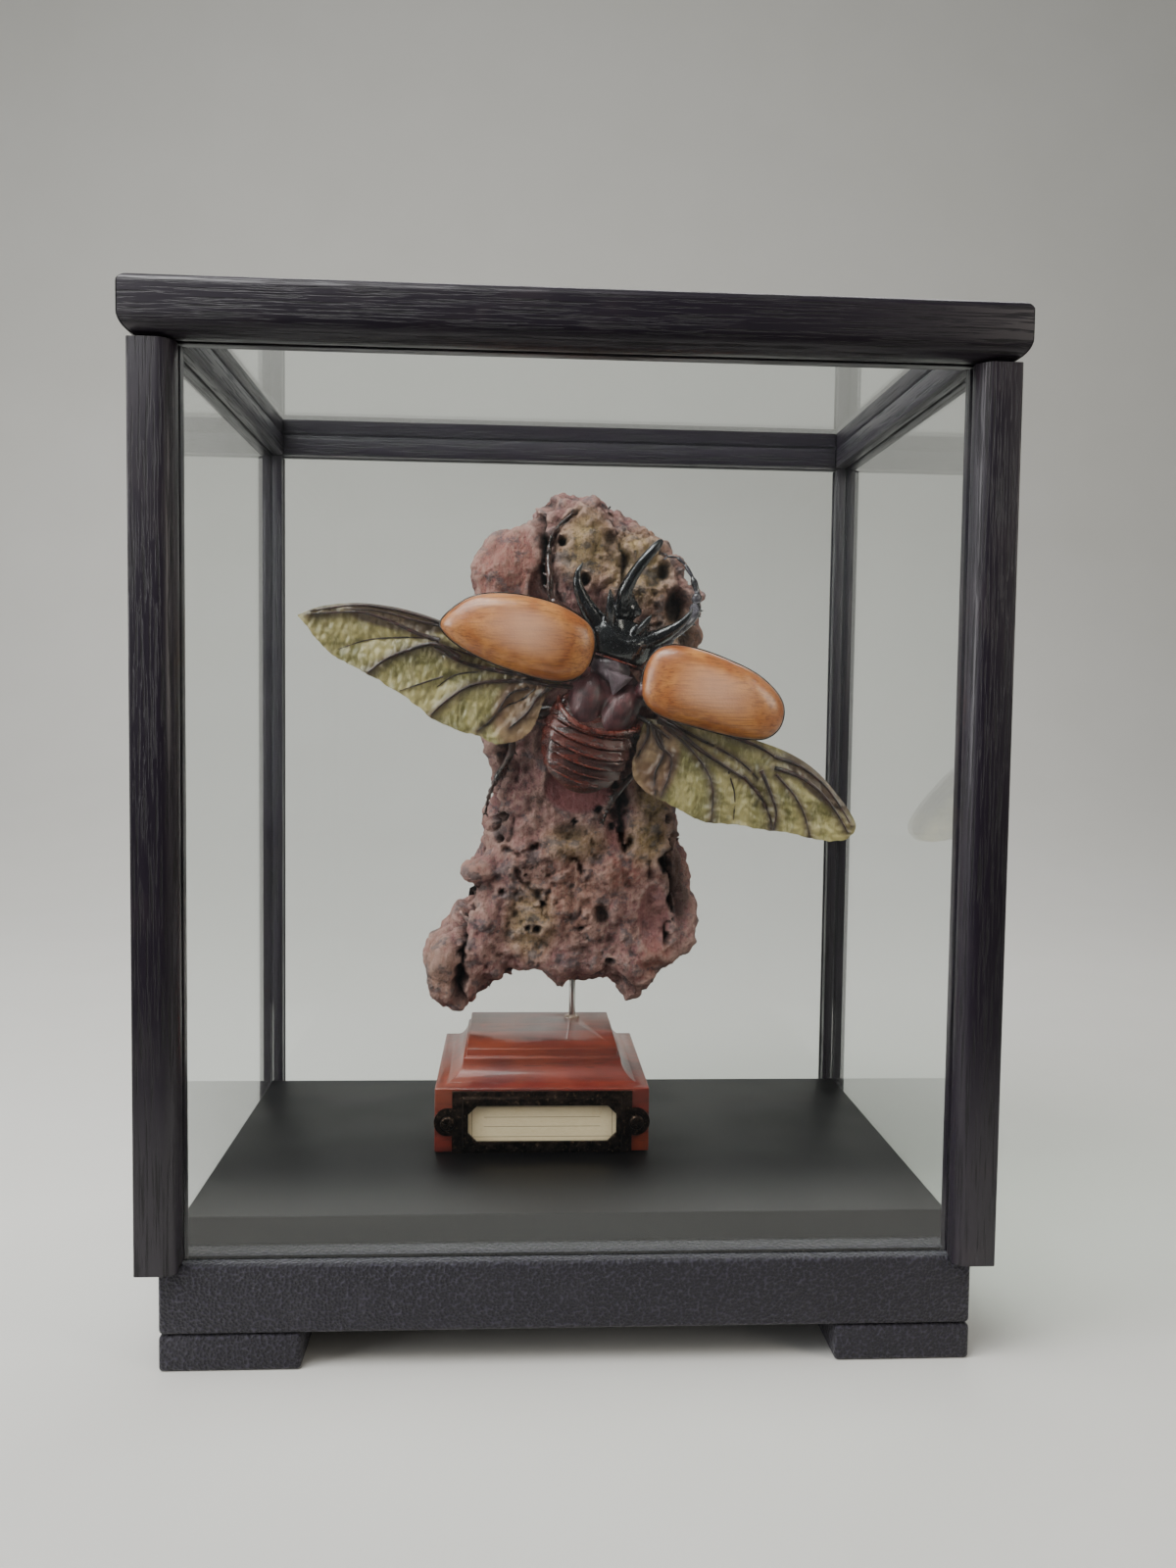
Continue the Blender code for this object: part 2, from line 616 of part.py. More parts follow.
def make_rod():
    bm = bmesh.new()
    bmesh.ops.create_cone(
        bm, cap_ends=True, segments=16, radius1=ROD_RADIUS, radius2=ROD_RADIUS,
        depth=ROD_TOP - ROD_BOTTOM,
    )  # fmt: skip
    place = Matrix.Translation(ROD_AT + Vector((0, 0, (ROD_BOTTOM + ROD_TOP) / 2)))
    add_object("support_rod", mesh_of(bm, "support_rod"), "bright_steel", place)


def make_driftwood():
    """A slab of the driftwood's outline, remeshed, worn round and roughened."""
    outline = [(x * MM, z * MM) for x, z in WOOD_OUTLINE]
    slab = bpy.data.objects.new("slab", solid_mesh(flat_curve([outline], WOOD_THICKNESS), "slab"))
    CUTTERS.objects.link(slab)
    remesh = slab.modifiers.new("Remesh", "REMESH")
    remesh.mode = "VOXEL"
    remesh.voxel_size = WOOD_VOXEL
    wear = slab.modifiers.new("Smooth", "SMOOTH")
    wear.factor = 0.5
    wear.iterations = 4
    graph = bpy.context.evaluated_depsgraph_get()
    mesh = bpy.data.meshes.new_from_object(slab.evaluated_get(graph))
    bpy.data.objects.remove(slab, do_unlink=True)
    for vertex in mesh.vertices:
        bump = noise.noise_vector(vertex.co * 90) * WOOD_ROUGHNESS
        vertex.co += Vector((bump.x, bump.y, 0.6 * bump.z))
    place = Matrix.Translation((0, WOOD_MIDDLE, 0)) @ Matrix.Rotation(math.radians(90), 4, "X")
    bm = bmesh.new()
    bm.from_mesh(mesh)
    wood = add_object("driftwood", mesh_of(bm, "driftwood"), "weathered_wood", place)
    start = ROD_AT + Vector((0, 0, ROD_BOTTOM))
    drill(wood, "rod_hole", start, (0, 0, 1), ROD_HOLE, ROD_TOP + MM - ROD_BOTTOM)


def beetle_place(x=0.0, y=0.0, z=0.0):
    """A place in the beetle's frame, whose z is the case's -Y."""
    c, s = math.cos(BEETLE_LEAN), math.sin(BEETLE_LEAN)
    frame = Matrix(((c, s, 0, 0), (0, 0, -1, 0), (-s, c, 0, 0), (0, 0, 0, 1)))
    return Matrix.Translation(BEETLE_AT) @ frame @ Matrix.Translation((x, y, z))


def body_piece(name, centre, radii, back, front, finish, segments=BODY_SEGMENTS, rings=BODY_RINGS):
    """An ellipsoid of the body, cut square where it meets the piece behind and in front."""
    bm = ball([radius * MM for radius in radii], segments, rings)
    centre = Vector(centre) * MM
    if back is not None:
        slice_off(bm, (0, back * MM - centre.y, 0), (0, -1, 0))
    if front is not None:
        slice_off(bm, (0, front * MM - centre.y, 0), (0, 1, 0))
    bmesh.ops.translate(bm, vec=centre, verts=bm.verts)
    return add_object(name, mesh_of(bm, name), finish, beetle_place())


def join_tube(item, name, stations):
    mesh = solid_mesh(tube_curve(stations), name)
    boolean(item, "UNION", add_object(name, mesh, None, beetle_place(), is_cutter=True))


def clear_of(item, body):
    """Cuts an item back until only the gap is left between it and a piece of the body."""
    middle, radii = BODY[body]
    bm = ball([radius * MM + GAP for radius in radii], BODY_SEGMENTS, BODY_RINGS)
    bmesh.ops.translate(bm, vec=Vector(middle) * MM, verts=bm.verts)
    name = item.name + "_clearance"
    cutter = add_object(name, mesh_of(bm, name), None, beetle_place(), is_cutter=True)
    boolean(item, "DIFFERENCE", cutter)


def make_beetle_body():
    body_piece("abdomen", *BODY["abdomen"], None, -12.8, "brown_chitin")
    thorax = body_piece("thorax", *BODY["thorax"], -12.5, 2.5, "brown_chitin")
    for name, stations in SHOULDERS.items():
        join_tube(thorax, name, stations)
    pronotum = body_piece("pronotum", *BODY["pronotum"], 2.9, 14.3, "black_chitin")
    for name, stations in PRONOTUM_HORNS.items():
        join_tube(pronotum, name, stations)
    head = body_piece("head", (-3.6, 16, 0), (3.8, 3.6, 3), 14.6, None, "black_chitin", 14, 8)
    join_tube(head, "head_horn", HEAD_HORN)
    triangle = [(-3.6 * MM, 1.6 * MM), (3.6 * MM, 1.6 * MM), (0, -3 * MM)]
    plate("scutellum", [triangle], 0.6 * MM, "brown_chitin", beetle_place(0, -2.4 * MM, 6.7 * MM))


def make_wing_case(name, middle, radii):
    """A hollow dome, open below."""
    bm = ball([radius * MM for radius in radii], 20, 10)
    everything = bm.verts[:] + bm.edges[:] + bm.faces[:]
    bmesh.ops.bisect_plane(
        bm, geom=everything, plane_co=(0, 0, 0), plane_no=(0, 0, -1), clear_outer=True
    )
    place = beetle_place(middle[0] * MM, middle[1] * MM, ELYTRON_LIFT)
    item = add_object(name, mesh_of(bm, name), "amber_chitin", place)
    wall = item.modifiers.new("Solidify", "SOLIDIFY")
    wall.thickness = ELYTRON_THICKNESS
    wall.offset = -1


def make_wings():
    make_wing_case("elytron_left", (-26.3, 2.5), (18.3, 9.1, 5.4))
    make_wing_case("elytron_right", (23.2, 2.7), (17.8, 9.2, 5.4))
    for name, outline in (("hindwing_left", LEFT_WING), ("hindwing_right", RIGHT_WING)):
        points = [(x * MM, y * MM) for x, y in outline]
        mesh = solid_mesh(flat_curve([points], WING_THICKNESS), name)
        wing = add_object(name, mesh, "wing_membrane", beetle_place(0, 0, WING_LIFT))
        clear_of(wing, "thorax")


def make_legs():
    for name, stations in LEGS.items():
        mesh = solid_mesh(tube_curve(stations), name)
        clear_of(add_object(name, mesh, "brown_chitin", beetle_place()), HIPS[name])


clear_scene()
PARTS = new_collection("beetle_showcase")
CUTTERS = new_collection("cutters")
MATERIALS = {name: make_finish(name, *values) for name, values in FINISHES.items()}
rail_underside = CASE_HEIGHT - RAIL_HEIGHT
hood_bottom = LEDGE_HEIGHT + GAP
make_base()
make_posts(hood_bottom, rail_underside - GAP)
make_rails(rail_underside)
make_glass(hood_bottom, rail_underside)
make_plinth()
make_card_holder()
make_screws()
make_rod()
make_driftwood()
make_beetle_body()
make_wings()
make_legs()
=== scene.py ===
# %% [markdown]
# A horned beetle in a glass showcase
#
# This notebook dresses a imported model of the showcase: a black wooden hood with five panes of
# glass over a base, and inside it a red plinth, a label, a steel rod, a piece of driftwood and a
# big beetle with its wings spread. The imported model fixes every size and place. The cells below
# only read boxes from it and build finer pieces into them, so nothing here moves the frame.

import math

import bmesh
import bpy
import numpy as np
from mathutils import Matrix, Vector, noise


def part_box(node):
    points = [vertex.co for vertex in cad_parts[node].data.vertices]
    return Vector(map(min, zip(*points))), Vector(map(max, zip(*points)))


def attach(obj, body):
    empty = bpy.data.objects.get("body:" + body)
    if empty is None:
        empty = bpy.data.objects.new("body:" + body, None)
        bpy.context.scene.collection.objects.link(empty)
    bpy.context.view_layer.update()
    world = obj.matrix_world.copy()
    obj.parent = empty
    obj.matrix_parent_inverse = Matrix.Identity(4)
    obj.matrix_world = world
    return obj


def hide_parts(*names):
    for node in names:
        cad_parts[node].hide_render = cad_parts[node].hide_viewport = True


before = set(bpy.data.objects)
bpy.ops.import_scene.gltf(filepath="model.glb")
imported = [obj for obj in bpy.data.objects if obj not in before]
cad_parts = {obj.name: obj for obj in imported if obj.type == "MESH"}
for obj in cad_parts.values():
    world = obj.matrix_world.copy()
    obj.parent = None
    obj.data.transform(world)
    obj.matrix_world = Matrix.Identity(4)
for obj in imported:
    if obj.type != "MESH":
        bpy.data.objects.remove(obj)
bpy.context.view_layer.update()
MM = 0.001

# %% [markdown]
# Helpers for modelling
#
# Edit-mode operators work on whatever is selected, so a script has to say each time what that
# is. The first two helpers leave exactly one object selected, and the third picks faces or edges
# by a test on their middle point and normal, as one would click them. Keeping these few lines in
# one place makes each later cell read like the steps of a modelling session.

# %% Selecting, as by hand
def only(item):
    """Object mode, with item selected and active and nothing else."""
    if bpy.context.object and bpy.context.object.mode != "OBJECT":
        bpy.ops.object.mode_set(mode="OBJECT")
    bpy.ops.object.select_all(action="DESELECT")
    for other in [item] if isinstance(item, bpy.types.Object) else item:
        other.select_set(True)
        bpy.context.view_layer.objects.active = other
    return bpy.context.object


def edit(item, mode="FACE"):
    """Edit mode on item, with nothing selected. Returns its bmesh."""
    only(item)
    bpy.ops.object.mode_set(mode="EDIT")
    bpy.ops.mesh.select_mode(type=mode)
    bpy.ops.mesh.select_all(action="DESELECT")
    return bmesh.from_edit_mesh(item.data)


def pick(item, test, mode="FACE"):
    """Selects the faces, edges or vertices of item, in edit mode, that pass the test."""
    bpy.ops.mesh.select_mode(type=mode)
    bpy.ops.mesh.select_all(action="DESELECT")
    bm = bmesh.from_edit_mesh(item.data)
    bm.normal_update()
    parts = {"FACE": bm.faces, "EDGE": bm.edges, "VERT": bm.verts}[mode]
    found = 0
    for part in parts:
        if test(part):
            part.select_set(True)
            found += 1
    bm.select_flush_mode()
    bmesh.update_edit_mesh(item.data)
    return found


def done():
    bpy.ops.object.mode_set(mode="OBJECT")


def heal(item, weld=0.0):
    """Merges the points that are nearer than weld and turns every face outward."""
    edit(item)
    bpy.ops.mesh.select_all(action="SELECT")
    if weld:
        bpy.ops.mesh.remove_doubles(threshold=weld)
    bpy.ops.mesh.normals_make_consistent(inside=False)
    done()


def push(up, shrink, centre):
    """Pushes the selected faces up and draws them in toward centre."""
    bpy.ops.mesh.extrude_region_move(TRANSFORM_OT_translate={"value": (0, 0, up)})
    bpy.ops.transform.resize(value=(shrink, shrink, 1), center_override=centre)


def middle(part):
    """The middle of an edge or a face."""
    return sum((v.co for v in part.verts), Vector()) / len(part.verts)


def along(edge):
    """The direction of an edge."""
    return (edge.verts[1].co - edge.verts[0].co).normalized()


print(len(bpy.context.selected_objects), "nodes are still selected from loading")

# %% [markdown]
# Starting and finishing a piece
#
# A piece starts as a primitive at its real size and place, and ends as a mesh whose object sits
# at the origin, because the pattern of a material is laid out from there. Modifiers are applied
# as soon as they are set, as a modeller would before handing a mesh on. The last helper hangs
# the piece on the body that it rides on, hides the CAD nodes that it stands for and gives it its
# materials.

# %% Starting, shaping and finishing
def start(primitive, name, scale=(1, 1, 1), **settings):
    """Adds a primitive at its place and size, with nothing else selected."""
    bpy.ops.object.select_all(action="DESELECT")
    primitive(**settings)
    item = bpy.context.object
    item.name = name
    item.scale = scale
    bpy.ops.object.transform_apply(location=True, rotation=True, scale=True)
    return item


def block(name, low, high):
    """A box between two corners."""
    low, high = Vector(low), Vector(high)
    return start(bpy.ops.mesh.primitive_cube_add, name, high - low, size=1, location=(low + high) / 2)


def apply_now(item, kind, **settings):
    """Adds a modifier, sets it and applies it."""
    only(item)
    change = item.modifiers.new(kind.title(), kind)
    for name, value in settings.items():
        setattr(change, name, value)
    bpy.ops.object.modifier_apply(modifier=change.name)


def cut(item, cutter, operation="DIFFERENCE", keep=False):
    """Cuts item with a closed mesh, or joins the two, and deletes the cutter."""
    apply_now(item, "BOOLEAN", operation=operation, object=cutter, solver="EXACT")
    if not keep:
        bpy.data.objects.remove(cutter, do_unlink=True)


def soften(item, width, segments=3, angle=40):
    """Rounds every edge sharper than angle, as sanding or tumbling does."""
    apply_now(item, "BEVEL", width=width, segments=segments, limit_method="ANGLE",
              angle_limit=math.radians(angle), harden_normals=False)


def join(name, items):
    """One object from several, each a closed shell."""
    only(items)
    bpy.ops.object.join()
    joined = bpy.context.object
    joined.name = name
    return joined


def finish(item, name, materials, replaces=(), smooth=35):
    """Applies the place, shades the piece, gives it its materials and hands it to the frame."""
    only(item)
    bpy.ops.object.transform_apply(location=True, rotation=True, scale=True)
    if smooth:
        bpy.ops.object.shade_smooth_by_angle(angle=math.radians(smooth))
    item.name = item.data.name = name
    if materials:
        item.data.materials.clear()
        for material in materials if isinstance(materials, (list, tuple)) else [materials]:
            item.data.materials.append(material)
    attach(item, "root")
    if replaces:
        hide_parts(*replaces)
    item.data.calc_loop_triangles()
    print(f"{name}: {len(item.data.loop_triangles)} triangles")
    return item


def mirrored(item, x=1, y=1):
    """A copy of item turned over to another corner, its faces pointing out again."""
    only(item)
    bpy.ops.object.duplicate()
    twin = bpy.context.object
    twin.scale = (x, y, 1)
    bpy.ops.object.transform_apply(location=False, rotation=False, scale=True)
    heal(twin)
    return twin

# %% [markdown]
# Helpers for materials
#
# A picked colour is sRGB, and a shader works in linear light, so one function turns the first
# into the second. Each material is a small graph of nodes, and one function adds any node with its
# inputs, its settings and its links. A short table says, for the few nodes used again and again,
# which inputs are given in order and what this object's materials have in common, such as the
# soft-edged range that squeezes a noise into the few places where it should show. A pattern's
# size is given in millimetres and turned into the node's own cells per metre.

# %% Colours and nodes
KINDS = {  # the node, the inputs that are given in order, and what else is set
    "noise": ("TexNoise", ("Vector", "size_mm"), {"Detail": 4.0, "Roughness": 0.55}),
    "cells": ("TexVoronoi", ("Vector", "size_mm"), {}),
    "stretch": ("Mapping", ("Vector", "Scale"), {}),
    "mask": ("MapRange", ("Value", "From Min", "From Max"), {"interpolation_type": "SMOOTHSTEP"}),
    "spread": ("MapRange", ("Value", "To Min", "To Max"), {}),
    "mix": ("Mix", (0, 6, 7), {"data_type": "RGBA"}),
}
MAIN_OUTPUT = {"ShaderNodeMix": 2, "ShaderNodeAttribute": "Fac"}


def linear(hex_colour):
    channels = [int(hex_colour[i : i + 2], 16) / 255 for i in (0, 2, 4)]
    turned = [c / 12.92 if c <= 0.04045 else ((c + 0.055) / 1.055) ** 2.4 for c in channels]
    return (*turned, 1)


def feed(tree, socket, value):
    """Gives an input a value, a hex colour, an output or the main output of another node."""
    if isinstance(value, bpy.types.Node):
        value = value.outputs[MAIN_OUTPUT.get(value.bl_idname, 0)]
    if isinstance(value, bpy.types.NodeSocket):
        tree.links.new(value, socket)
    else:
        socket.default_value = linear(value) if isinstance(value, str) else value


def add(tree, kind, *values, **named):
    """Adds a node. A name that starts with a capital is an input, and any other is a setting.

    A kind in capitals is an operation of the Math node."""
    if kind.isupper():
        node_type, order, shared = "Math", (0, 1, 2), {"operation": kind}
    else:
        node_type, order, shared = KINDS.get(kind, (kind, (0, 1, 2), {}))
    node = tree.nodes.new("ShaderNode" + node_type)
    inputs = {}
    for name, value in {**shared, **named}.items():
        if name[0].isupper():
            inputs[name] = value
        else:
            setattr(node, name, value)
    for key, value in [*zip(order, values), *inputs.items()]:
        if key == "size_mm":
            key, value = "Scale", 1 / (value * MM)
        feed(tree, node.inputs[key], value)
    return node


def new_material(name, **inputs):
    """A Principled material. Returns it with its tree, its shader and its object coordinates."""
    made = bpy.data.materials.new(name)
    made.use_nodes = True
    tree = made.node_tree
    shader = tree.nodes["Principled BSDF"]
    link(tree, shader, **inputs)
    return made, tree, shader, add(tree, "TexCoord").outputs["Object"]


def link(tree, shader, **sources):
    """Feeds the shader's inputs by name, with _ for a space."""
    for name, source in sources.items():
        feed(tree, shader.inputs[name.replace("_", " ")], source)


def relief(tree, shader, *layers):
    """Bump from several heights, each with its depth in millimetres."""
    below = {}
    for height, depth_mm in layers:
        below = {"Normal": add(tree, "Bump", Height=height, Distance=depth_mm * MM, Strength=1.0, **below)}
    link(tree, shader, **below)


print("helpers ready; mid grey is", [round(c, 3) for c in linear("808080")[:3]])

# %% [markdown]
# The camera
#
# The showcase is seen from just in front of it, at about three fifths of its height, by someone
# standing slightly left of its middle. A lens this near to the subject draws the front rail much
# wider than the back one, and that is most of what makes the picture look like a small case and
# not a building. The place is given as shares of the case's width, so that it scales with it.

# %% Camera
CASE_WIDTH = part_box("post_front_right")[1].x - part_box("post_front_left")[0].x
LENS_MM = 28.55
SENSOR_MM = 36


CAMERA_TURN = {"Z": -0.0579, "X": -0.0573, "Y": -0.0129}  # to the right, down and over, in radians
CAMERA_PLACE = Vector((-0.0708, -1.7487, 0.7661))  # in case widths


def add_camera():
    data = bpy.data.cameras.new("view")
    data.sensor_fit = "VERTICAL"
    data.sensor_height = SENSOR_MM
    data.lens = LENS_MM
    data.clip_start = 0.01
    camera = bpy.data.objects.new("view", data)
    bpy.context.scene.collection.objects.link(camera)
    turn = Matrix.Identity(3)
    for axis, angle in CAMERA_TURN.items():
        turn = turn @ Matrix.Rotation(angle, 3, axis)
    axes = Matrix((turn.col[0], turn.col[2], -turn.col[1])).transposed().to_4x4()
    camera.matrix_world = Matrix.Translation(CAMERA_PLACE * CASE_WIDTH) @ axes
    bpy.context.scene.camera = camera
    return camera


camera = add_camera()
print("camera at", [round(v, 4) for v in camera.location], "case width", round(CASE_WIDTH, 4))

# %% [markdown]
# The stage
#
# The case stands on a plain pale table top that curves up behind it into a backdrop, as a
# studio's paper sweep does. One profile pulled sideways makes both, so no seam shows
# through the glass. The light is soft: a wide panel over the case, a tall one to its left, a
# weaker one to its right, and one behind that puts a line of light along the polished edges.
# Toward the viewer the paper is painted dark grey, a painted shade, which keeps its glare off the front pane.

# %% Floor and lights
SWEEP = ((-1.2, 0), (-0.4, 0), (0.2, 0), (0.4, 0), (0.55, 0), (0.8, 0.06), (0.92, 0.24),
         (0.95, 0.6), (0.95, 1.6))  # its profile from before the case to the top of the backdrop
SWEEP_WIDTH = 3.2
# The dark cloth named on the next line is painted shade on the paper; it fades into the pale paper between
# these two depths.
FRONT_SHADE_FADE = (-0.165, -0.122)  # where the dark cloth ends and the pale paper is full


def add_sweep():
    floor = start(bpy.ops.mesh.primitive_plane_add, "paper_sweep", size=1)
    bm = edit(floor, "EDGE")
    for vertex in bm.verts:
        vertex.co = (SWEEP_WIDTH * math.copysign(0.5, vertex.co.x), SWEEP[0][0], 0)
    bmesh.update_edit_mesh(floor.data)
    bpy.ops.mesh.select_all(action="SELECT")
    bpy.ops.mesh.remove_doubles(threshold=1e-5)
    for (y, z), (next_y, next_z) in zip(SWEEP, SWEEP[1:]):
        bpy.ops.mesh.select_all(action="DESELECT")
        pick(floor, lambda v: abs(v.co.y - y) < 1e-4 and abs(v.co.z - z) < 1e-4, "VERT")
        bpy.ops.mesh.extrude_region_move(TRANSFORM_OT_translate={"value": (0, next_y - y, next_z - z)})
    done()
    apply_now(floor, "SUBSURF", levels=3, render_levels=3)
    only(floor)
    bpy.ops.object.shade_smooth()
    made, tree, shader, coordinates = new_material("matt_paper_sweep", Roughness=0.9)
    tone = add(tree, "noise", coordinates, 60, Detail=2)
    paper = add(tree, "mix", tone, "D9D8D2", "DFDED9")
    depth = add(tree, "SeparateXYZ", coordinates).outputs["Y"]
    # Painted shade: the paper's colour turns dark grey toward the viewer.
    link(tree, shader, Base_Color=add(tree, "mix", add(tree, "mask", depth, *FRONT_SHADE_FADE), "2A2A2B", paper))
    floor.data.materials.append(made)
    return floor


def add_panel(name, place, aim, size, power, colour="FFFFFF"):
    data = bpy.data.lights.new(name, "AREA")
    data.shape = "RECTANGLE"
    data.size, data.size_y = size
    data.energy = power
    data.color = linear(colour)[:3]
    panel = bpy.data.objects.new(name, data)
    bpy.context.scene.collection.objects.link(panel)
    panel.location = place
    panel.rotation_euler = (Vector(place) - Vector(aim)).to_track_quat("Z", "Y").to_euler()
    return panel


add_sweep()
HEART = Vector((0, 0, 0.11))
add_panel("top_panel", (-0.35, -0.25, 0.85), HEART, (0.7, 0.5), 9)
add_panel("left_panel", (-0.75, -0.35, 0.35), HEART, (0.35, 0.6), 4.4)
add_panel("right_panel", (0.7, -0.45, 0.4), HEART, (0.3, 0.5), 2.2, "FFF6EA")
add_panel("back_panel", (0.1, 0.6, 0.7), HEART, (0.8, 0.3), 2.6)
world = bpy.data.worlds.new("soft_room")
world.use_nodes = True
link(world.node_tree, world.node_tree.nodes["Background"], Color="D6DADB", Strength=0.14)
bpy.context.scene.world = world

# %% [markdown]
# Black stained wood
#
# The posts and rails are a coarse-pored hardwood such as ash, stained black and given a thin
# satin lacquer. The lacquer lies over the surface but sinks into the open pores, so the eye sees
# a grey sheen broken by short dark streaks along the grain. The pores are drawn as a noise
# stretched some thirty times along the piece; the same noise darkens the colour, dulls the gloss and
# dents the surface. A rail lies along X or Y, so its material turns the grain to follow it.

# %% Black stained wood
PORE_MM = 0.45


def stained_wood(name, grain_axis):
    made, tree, shader, coordinates = new_material(
        name, IOR=1.5, Coat_Weight=0.1, Coat_Roughness=0.25)
    squeeze = [1.0, 1.0, 1.0]
    squeeze["XYZ".index(grain_axis)] = 0.03
    lengthwise = add(tree, "stretch", coordinates, squeeze)
    pores = add(tree, "mask", add(tree, "noise", lengthwise, PORE_MM, Detail=3, Roughness=0.6), 0.5, 0.64)
    bands = add(tree, "noise", lengthwise, 6, Detail=3, Distortion=0.6)
    handling = add(tree, "noise", coordinates, 14, Detail=4)
    body = add(tree, "mix", bands, "120D15", "261D2B")
    body = add(tree, "mix", add(tree, "mask", handling, 0.5, 0.8), body, "2A2028")
    open_pores = add(tree, "MULTIPLY", pores, 0.75)
    link(tree, shader, Base_Color=add(tree, "mix", open_pores, body, "060507"))
    dullness = add(tree, "spread", handling, 0.3, 0.46)
    link(tree, shader, Roughness=add(tree, "ADD", dullness, add(tree, "MULTIPLY", pores, 0.3)))
    relief(tree, shader, (add(tree, "SUBTRACT", 1.0, pores), 0.09), (bands, 0.12))
    return made


POST_WOOD = stained_wood("black_stained_ash_upright", "Z")
RAIL_WOOD = {axis: stained_wood("black_stained_ash_along_" + axis.lower(), axis) for axis in "XY"}
print("stained woods:", POST_WOOD.name, *[m.name for m in RAIL_WOOD.values()])

# %% [markdown]
# The posts
#
# Each post is square, with a small sanded edge at the outer corner of the case and a large round
# on both sides that face the panes. Two grooves hold the panes. Below, the post is notched so
# that it sits on the ledge of the base with a thin lip outside it. One post is built from a
# block: the two wide rounds are bevels on single edges, which keeps them true quarter circles,
# and the grooves and the notch are cut with boxes. The other three are turned-over copies.

# %% Posts
WIDE_ROUND = 3.4 * MM
SANDED_EDGE = 0.45 * MM
GROOVE_SLACK = 0.15 * MM
NOTCH_SLACK = Vector((0.3, 0.3, 0.2)) * MM


def near(value, target, slack=2e-5):
    return abs(value - target) < slack


def round_edges(item, test, width, segments):
    edit(item)
    count = pick(item, test, "EDGE")
    bpy.ops.mesh.bevel(offset=width, segments=segments, affect="EDGES")
    done()
    return count


def carve(item, low, high):
    """Cuts a box-shaped groove or notch."""
    cut(item, block("carver", low, high))


def build_post():
    low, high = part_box("post_back_right")
    post = block("post", low, high)
    upright = lambda e: abs(along(e).z) > 0.9
    round_edges(post, lambda e: upright(e) and (
        near(middle(e).x, high.x) != near(middle(e).y, high.y)), WIDE_ROUND, 9)
    round_edges(post, lambda e: upright(e) and near(middle(e).x, high.x)
                and near(middle(e).y, high.y), SANDED_EDGE, 4)
    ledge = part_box("base_board")[1] + NOTCH_SLACK
    carve(post, low - Vector((1, 1, 1)) * MM, ledge)
    slack = Vector((1, 1, 0)) * GROOVE_SLACK
    for pane in ("glass_back", "glass_right"):
        pane_low, pane_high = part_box(pane)
        groove_low = Vector((max(pane_low.x, 0), max(pane_low.y, 0), pane_low.z - 2 * MM))
        carve(post, groove_low - slack, pane_high + slack + Vector((0, 0, 5 * MM)))
    soften(post, 0.12 * MM, segments=2, angle=50)
    return post


post = build_post()
for side, x in (("left", -1), ("right", 1)):
    for end, y in (("front", -1), ("back", 1)):
        node = f"post_{end}_{side}"
        twin = mirrored(post, x, y)
        finish(twin, "stained_" + node, POST_WOOD, [node])
bpy.data.objects.remove(post, do_unlink=True)

# %% [markdown]
# The top rails
#
# The four rails are one moulding: a small round over the top edge, a larger one under, and
# a square groove for the top of each pane. Their ends are sawn at 45 degrees and glued, and after
# years the joint shows as a hair line from corner to corner. Here a rail is a block, its two long
# outer edges are bevelled, its ends are cut off with bisect, as a mitre saw does it, and the
# sharp edges get a fine bevel, so that two neighbours meet in a real small V.

# %% Top rails
TOP_ROUND = 1.8 * MM
UNDER_ROUND = 4 * MM
MITRE_EASE = 0.12 * MM


def saw_end(item, corner, normal):
    """Cuts off what lies past a plane through corner and closes the cut."""
    edit(item)
    bpy.ops.mesh.select_all(action="SELECT")
    bpy.ops.mesh.bisect(plane_co=corner, plane_no=normal, use_fill=True, clear_outer=True)
    done()


def build_rail(node, axis, facing):
    low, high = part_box(node)
    rail = block(node, low, high)
    a = "XY".index(axis)
    b = 1 - a
    outer = high[b] if facing > 0 else low[b]
    lengthwise = lambda e: abs(along(e)[a]) > 0.9
    round_edges(rail, lambda e: lengthwise(e) and near(middle(e)[b], outer)
                and near(middle(e).z, high.z), TOP_ROUND, 6)
    round_edges(rail, lambda e: lengthwise(e) and near(middle(e)[b], outer)
                and near(middle(e).z, low.z), UNDER_ROUND, 9)
    for end in (-1, 1):
        corner = Vector((0, 0, 0))
        corner[a] = high[a] if end > 0 else low[a]
        corner[b] = outer
        normal = Vector((0, 0, 0))
        normal[a] = end
        normal[b] = -facing
        saw_end(rail, corner, normal)
    pane = {("X", -1): "glass_front", ("X", 1): "glass_back", ("Y", -1): "glass_left",
            ("Y", 1): "glass_right"}[axis, facing]
    pane_low, pane_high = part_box(pane)
    slack = Vector((0, 0, 0))
    slack[b] = GROOVE_SLACK
    carve(rail, Vector((*pane_low.xy, low.z - MM)) - slack,
          Vector((*pane_high.xy, pane_high.z + GROOVE_SLACK)) + slack)
    lid_low, lid_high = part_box("glass_top")
    rim = Vector((0, 0, GROOVE_SLACK))
    carve(rail, lid_low - rim, lid_high + rim)
    soften(rail, MITRE_EASE, segments=2, angle=44)
    return rail


for node, axis, facing in (("rail_front", "X", -1), ("rail_back", "X", 1),
                           ("rail_left", "Y", -1), ("rail_right", "Y", 1)):
    finish(build_rail(node, axis, facing), "moulded_" + node, RAIL_WOOD[axis], [node],
           smooth=30)

# %% [markdown]
# The base and its feet
#
# The base is a plain board with four square feet under its corners, all coated in a fine black
# grit with a blue-black sheen, like the finish of a jewellery stand. Close up the grit breaks the
# light into tiny points. A real displaced surface would need millions of faces for grains of
# half a millimetre, so the boards are plain bevelled blocks, and the grains live in the colour,
# the bump and the roughness.

# %% Black grit
GRIT_MM = 0.65


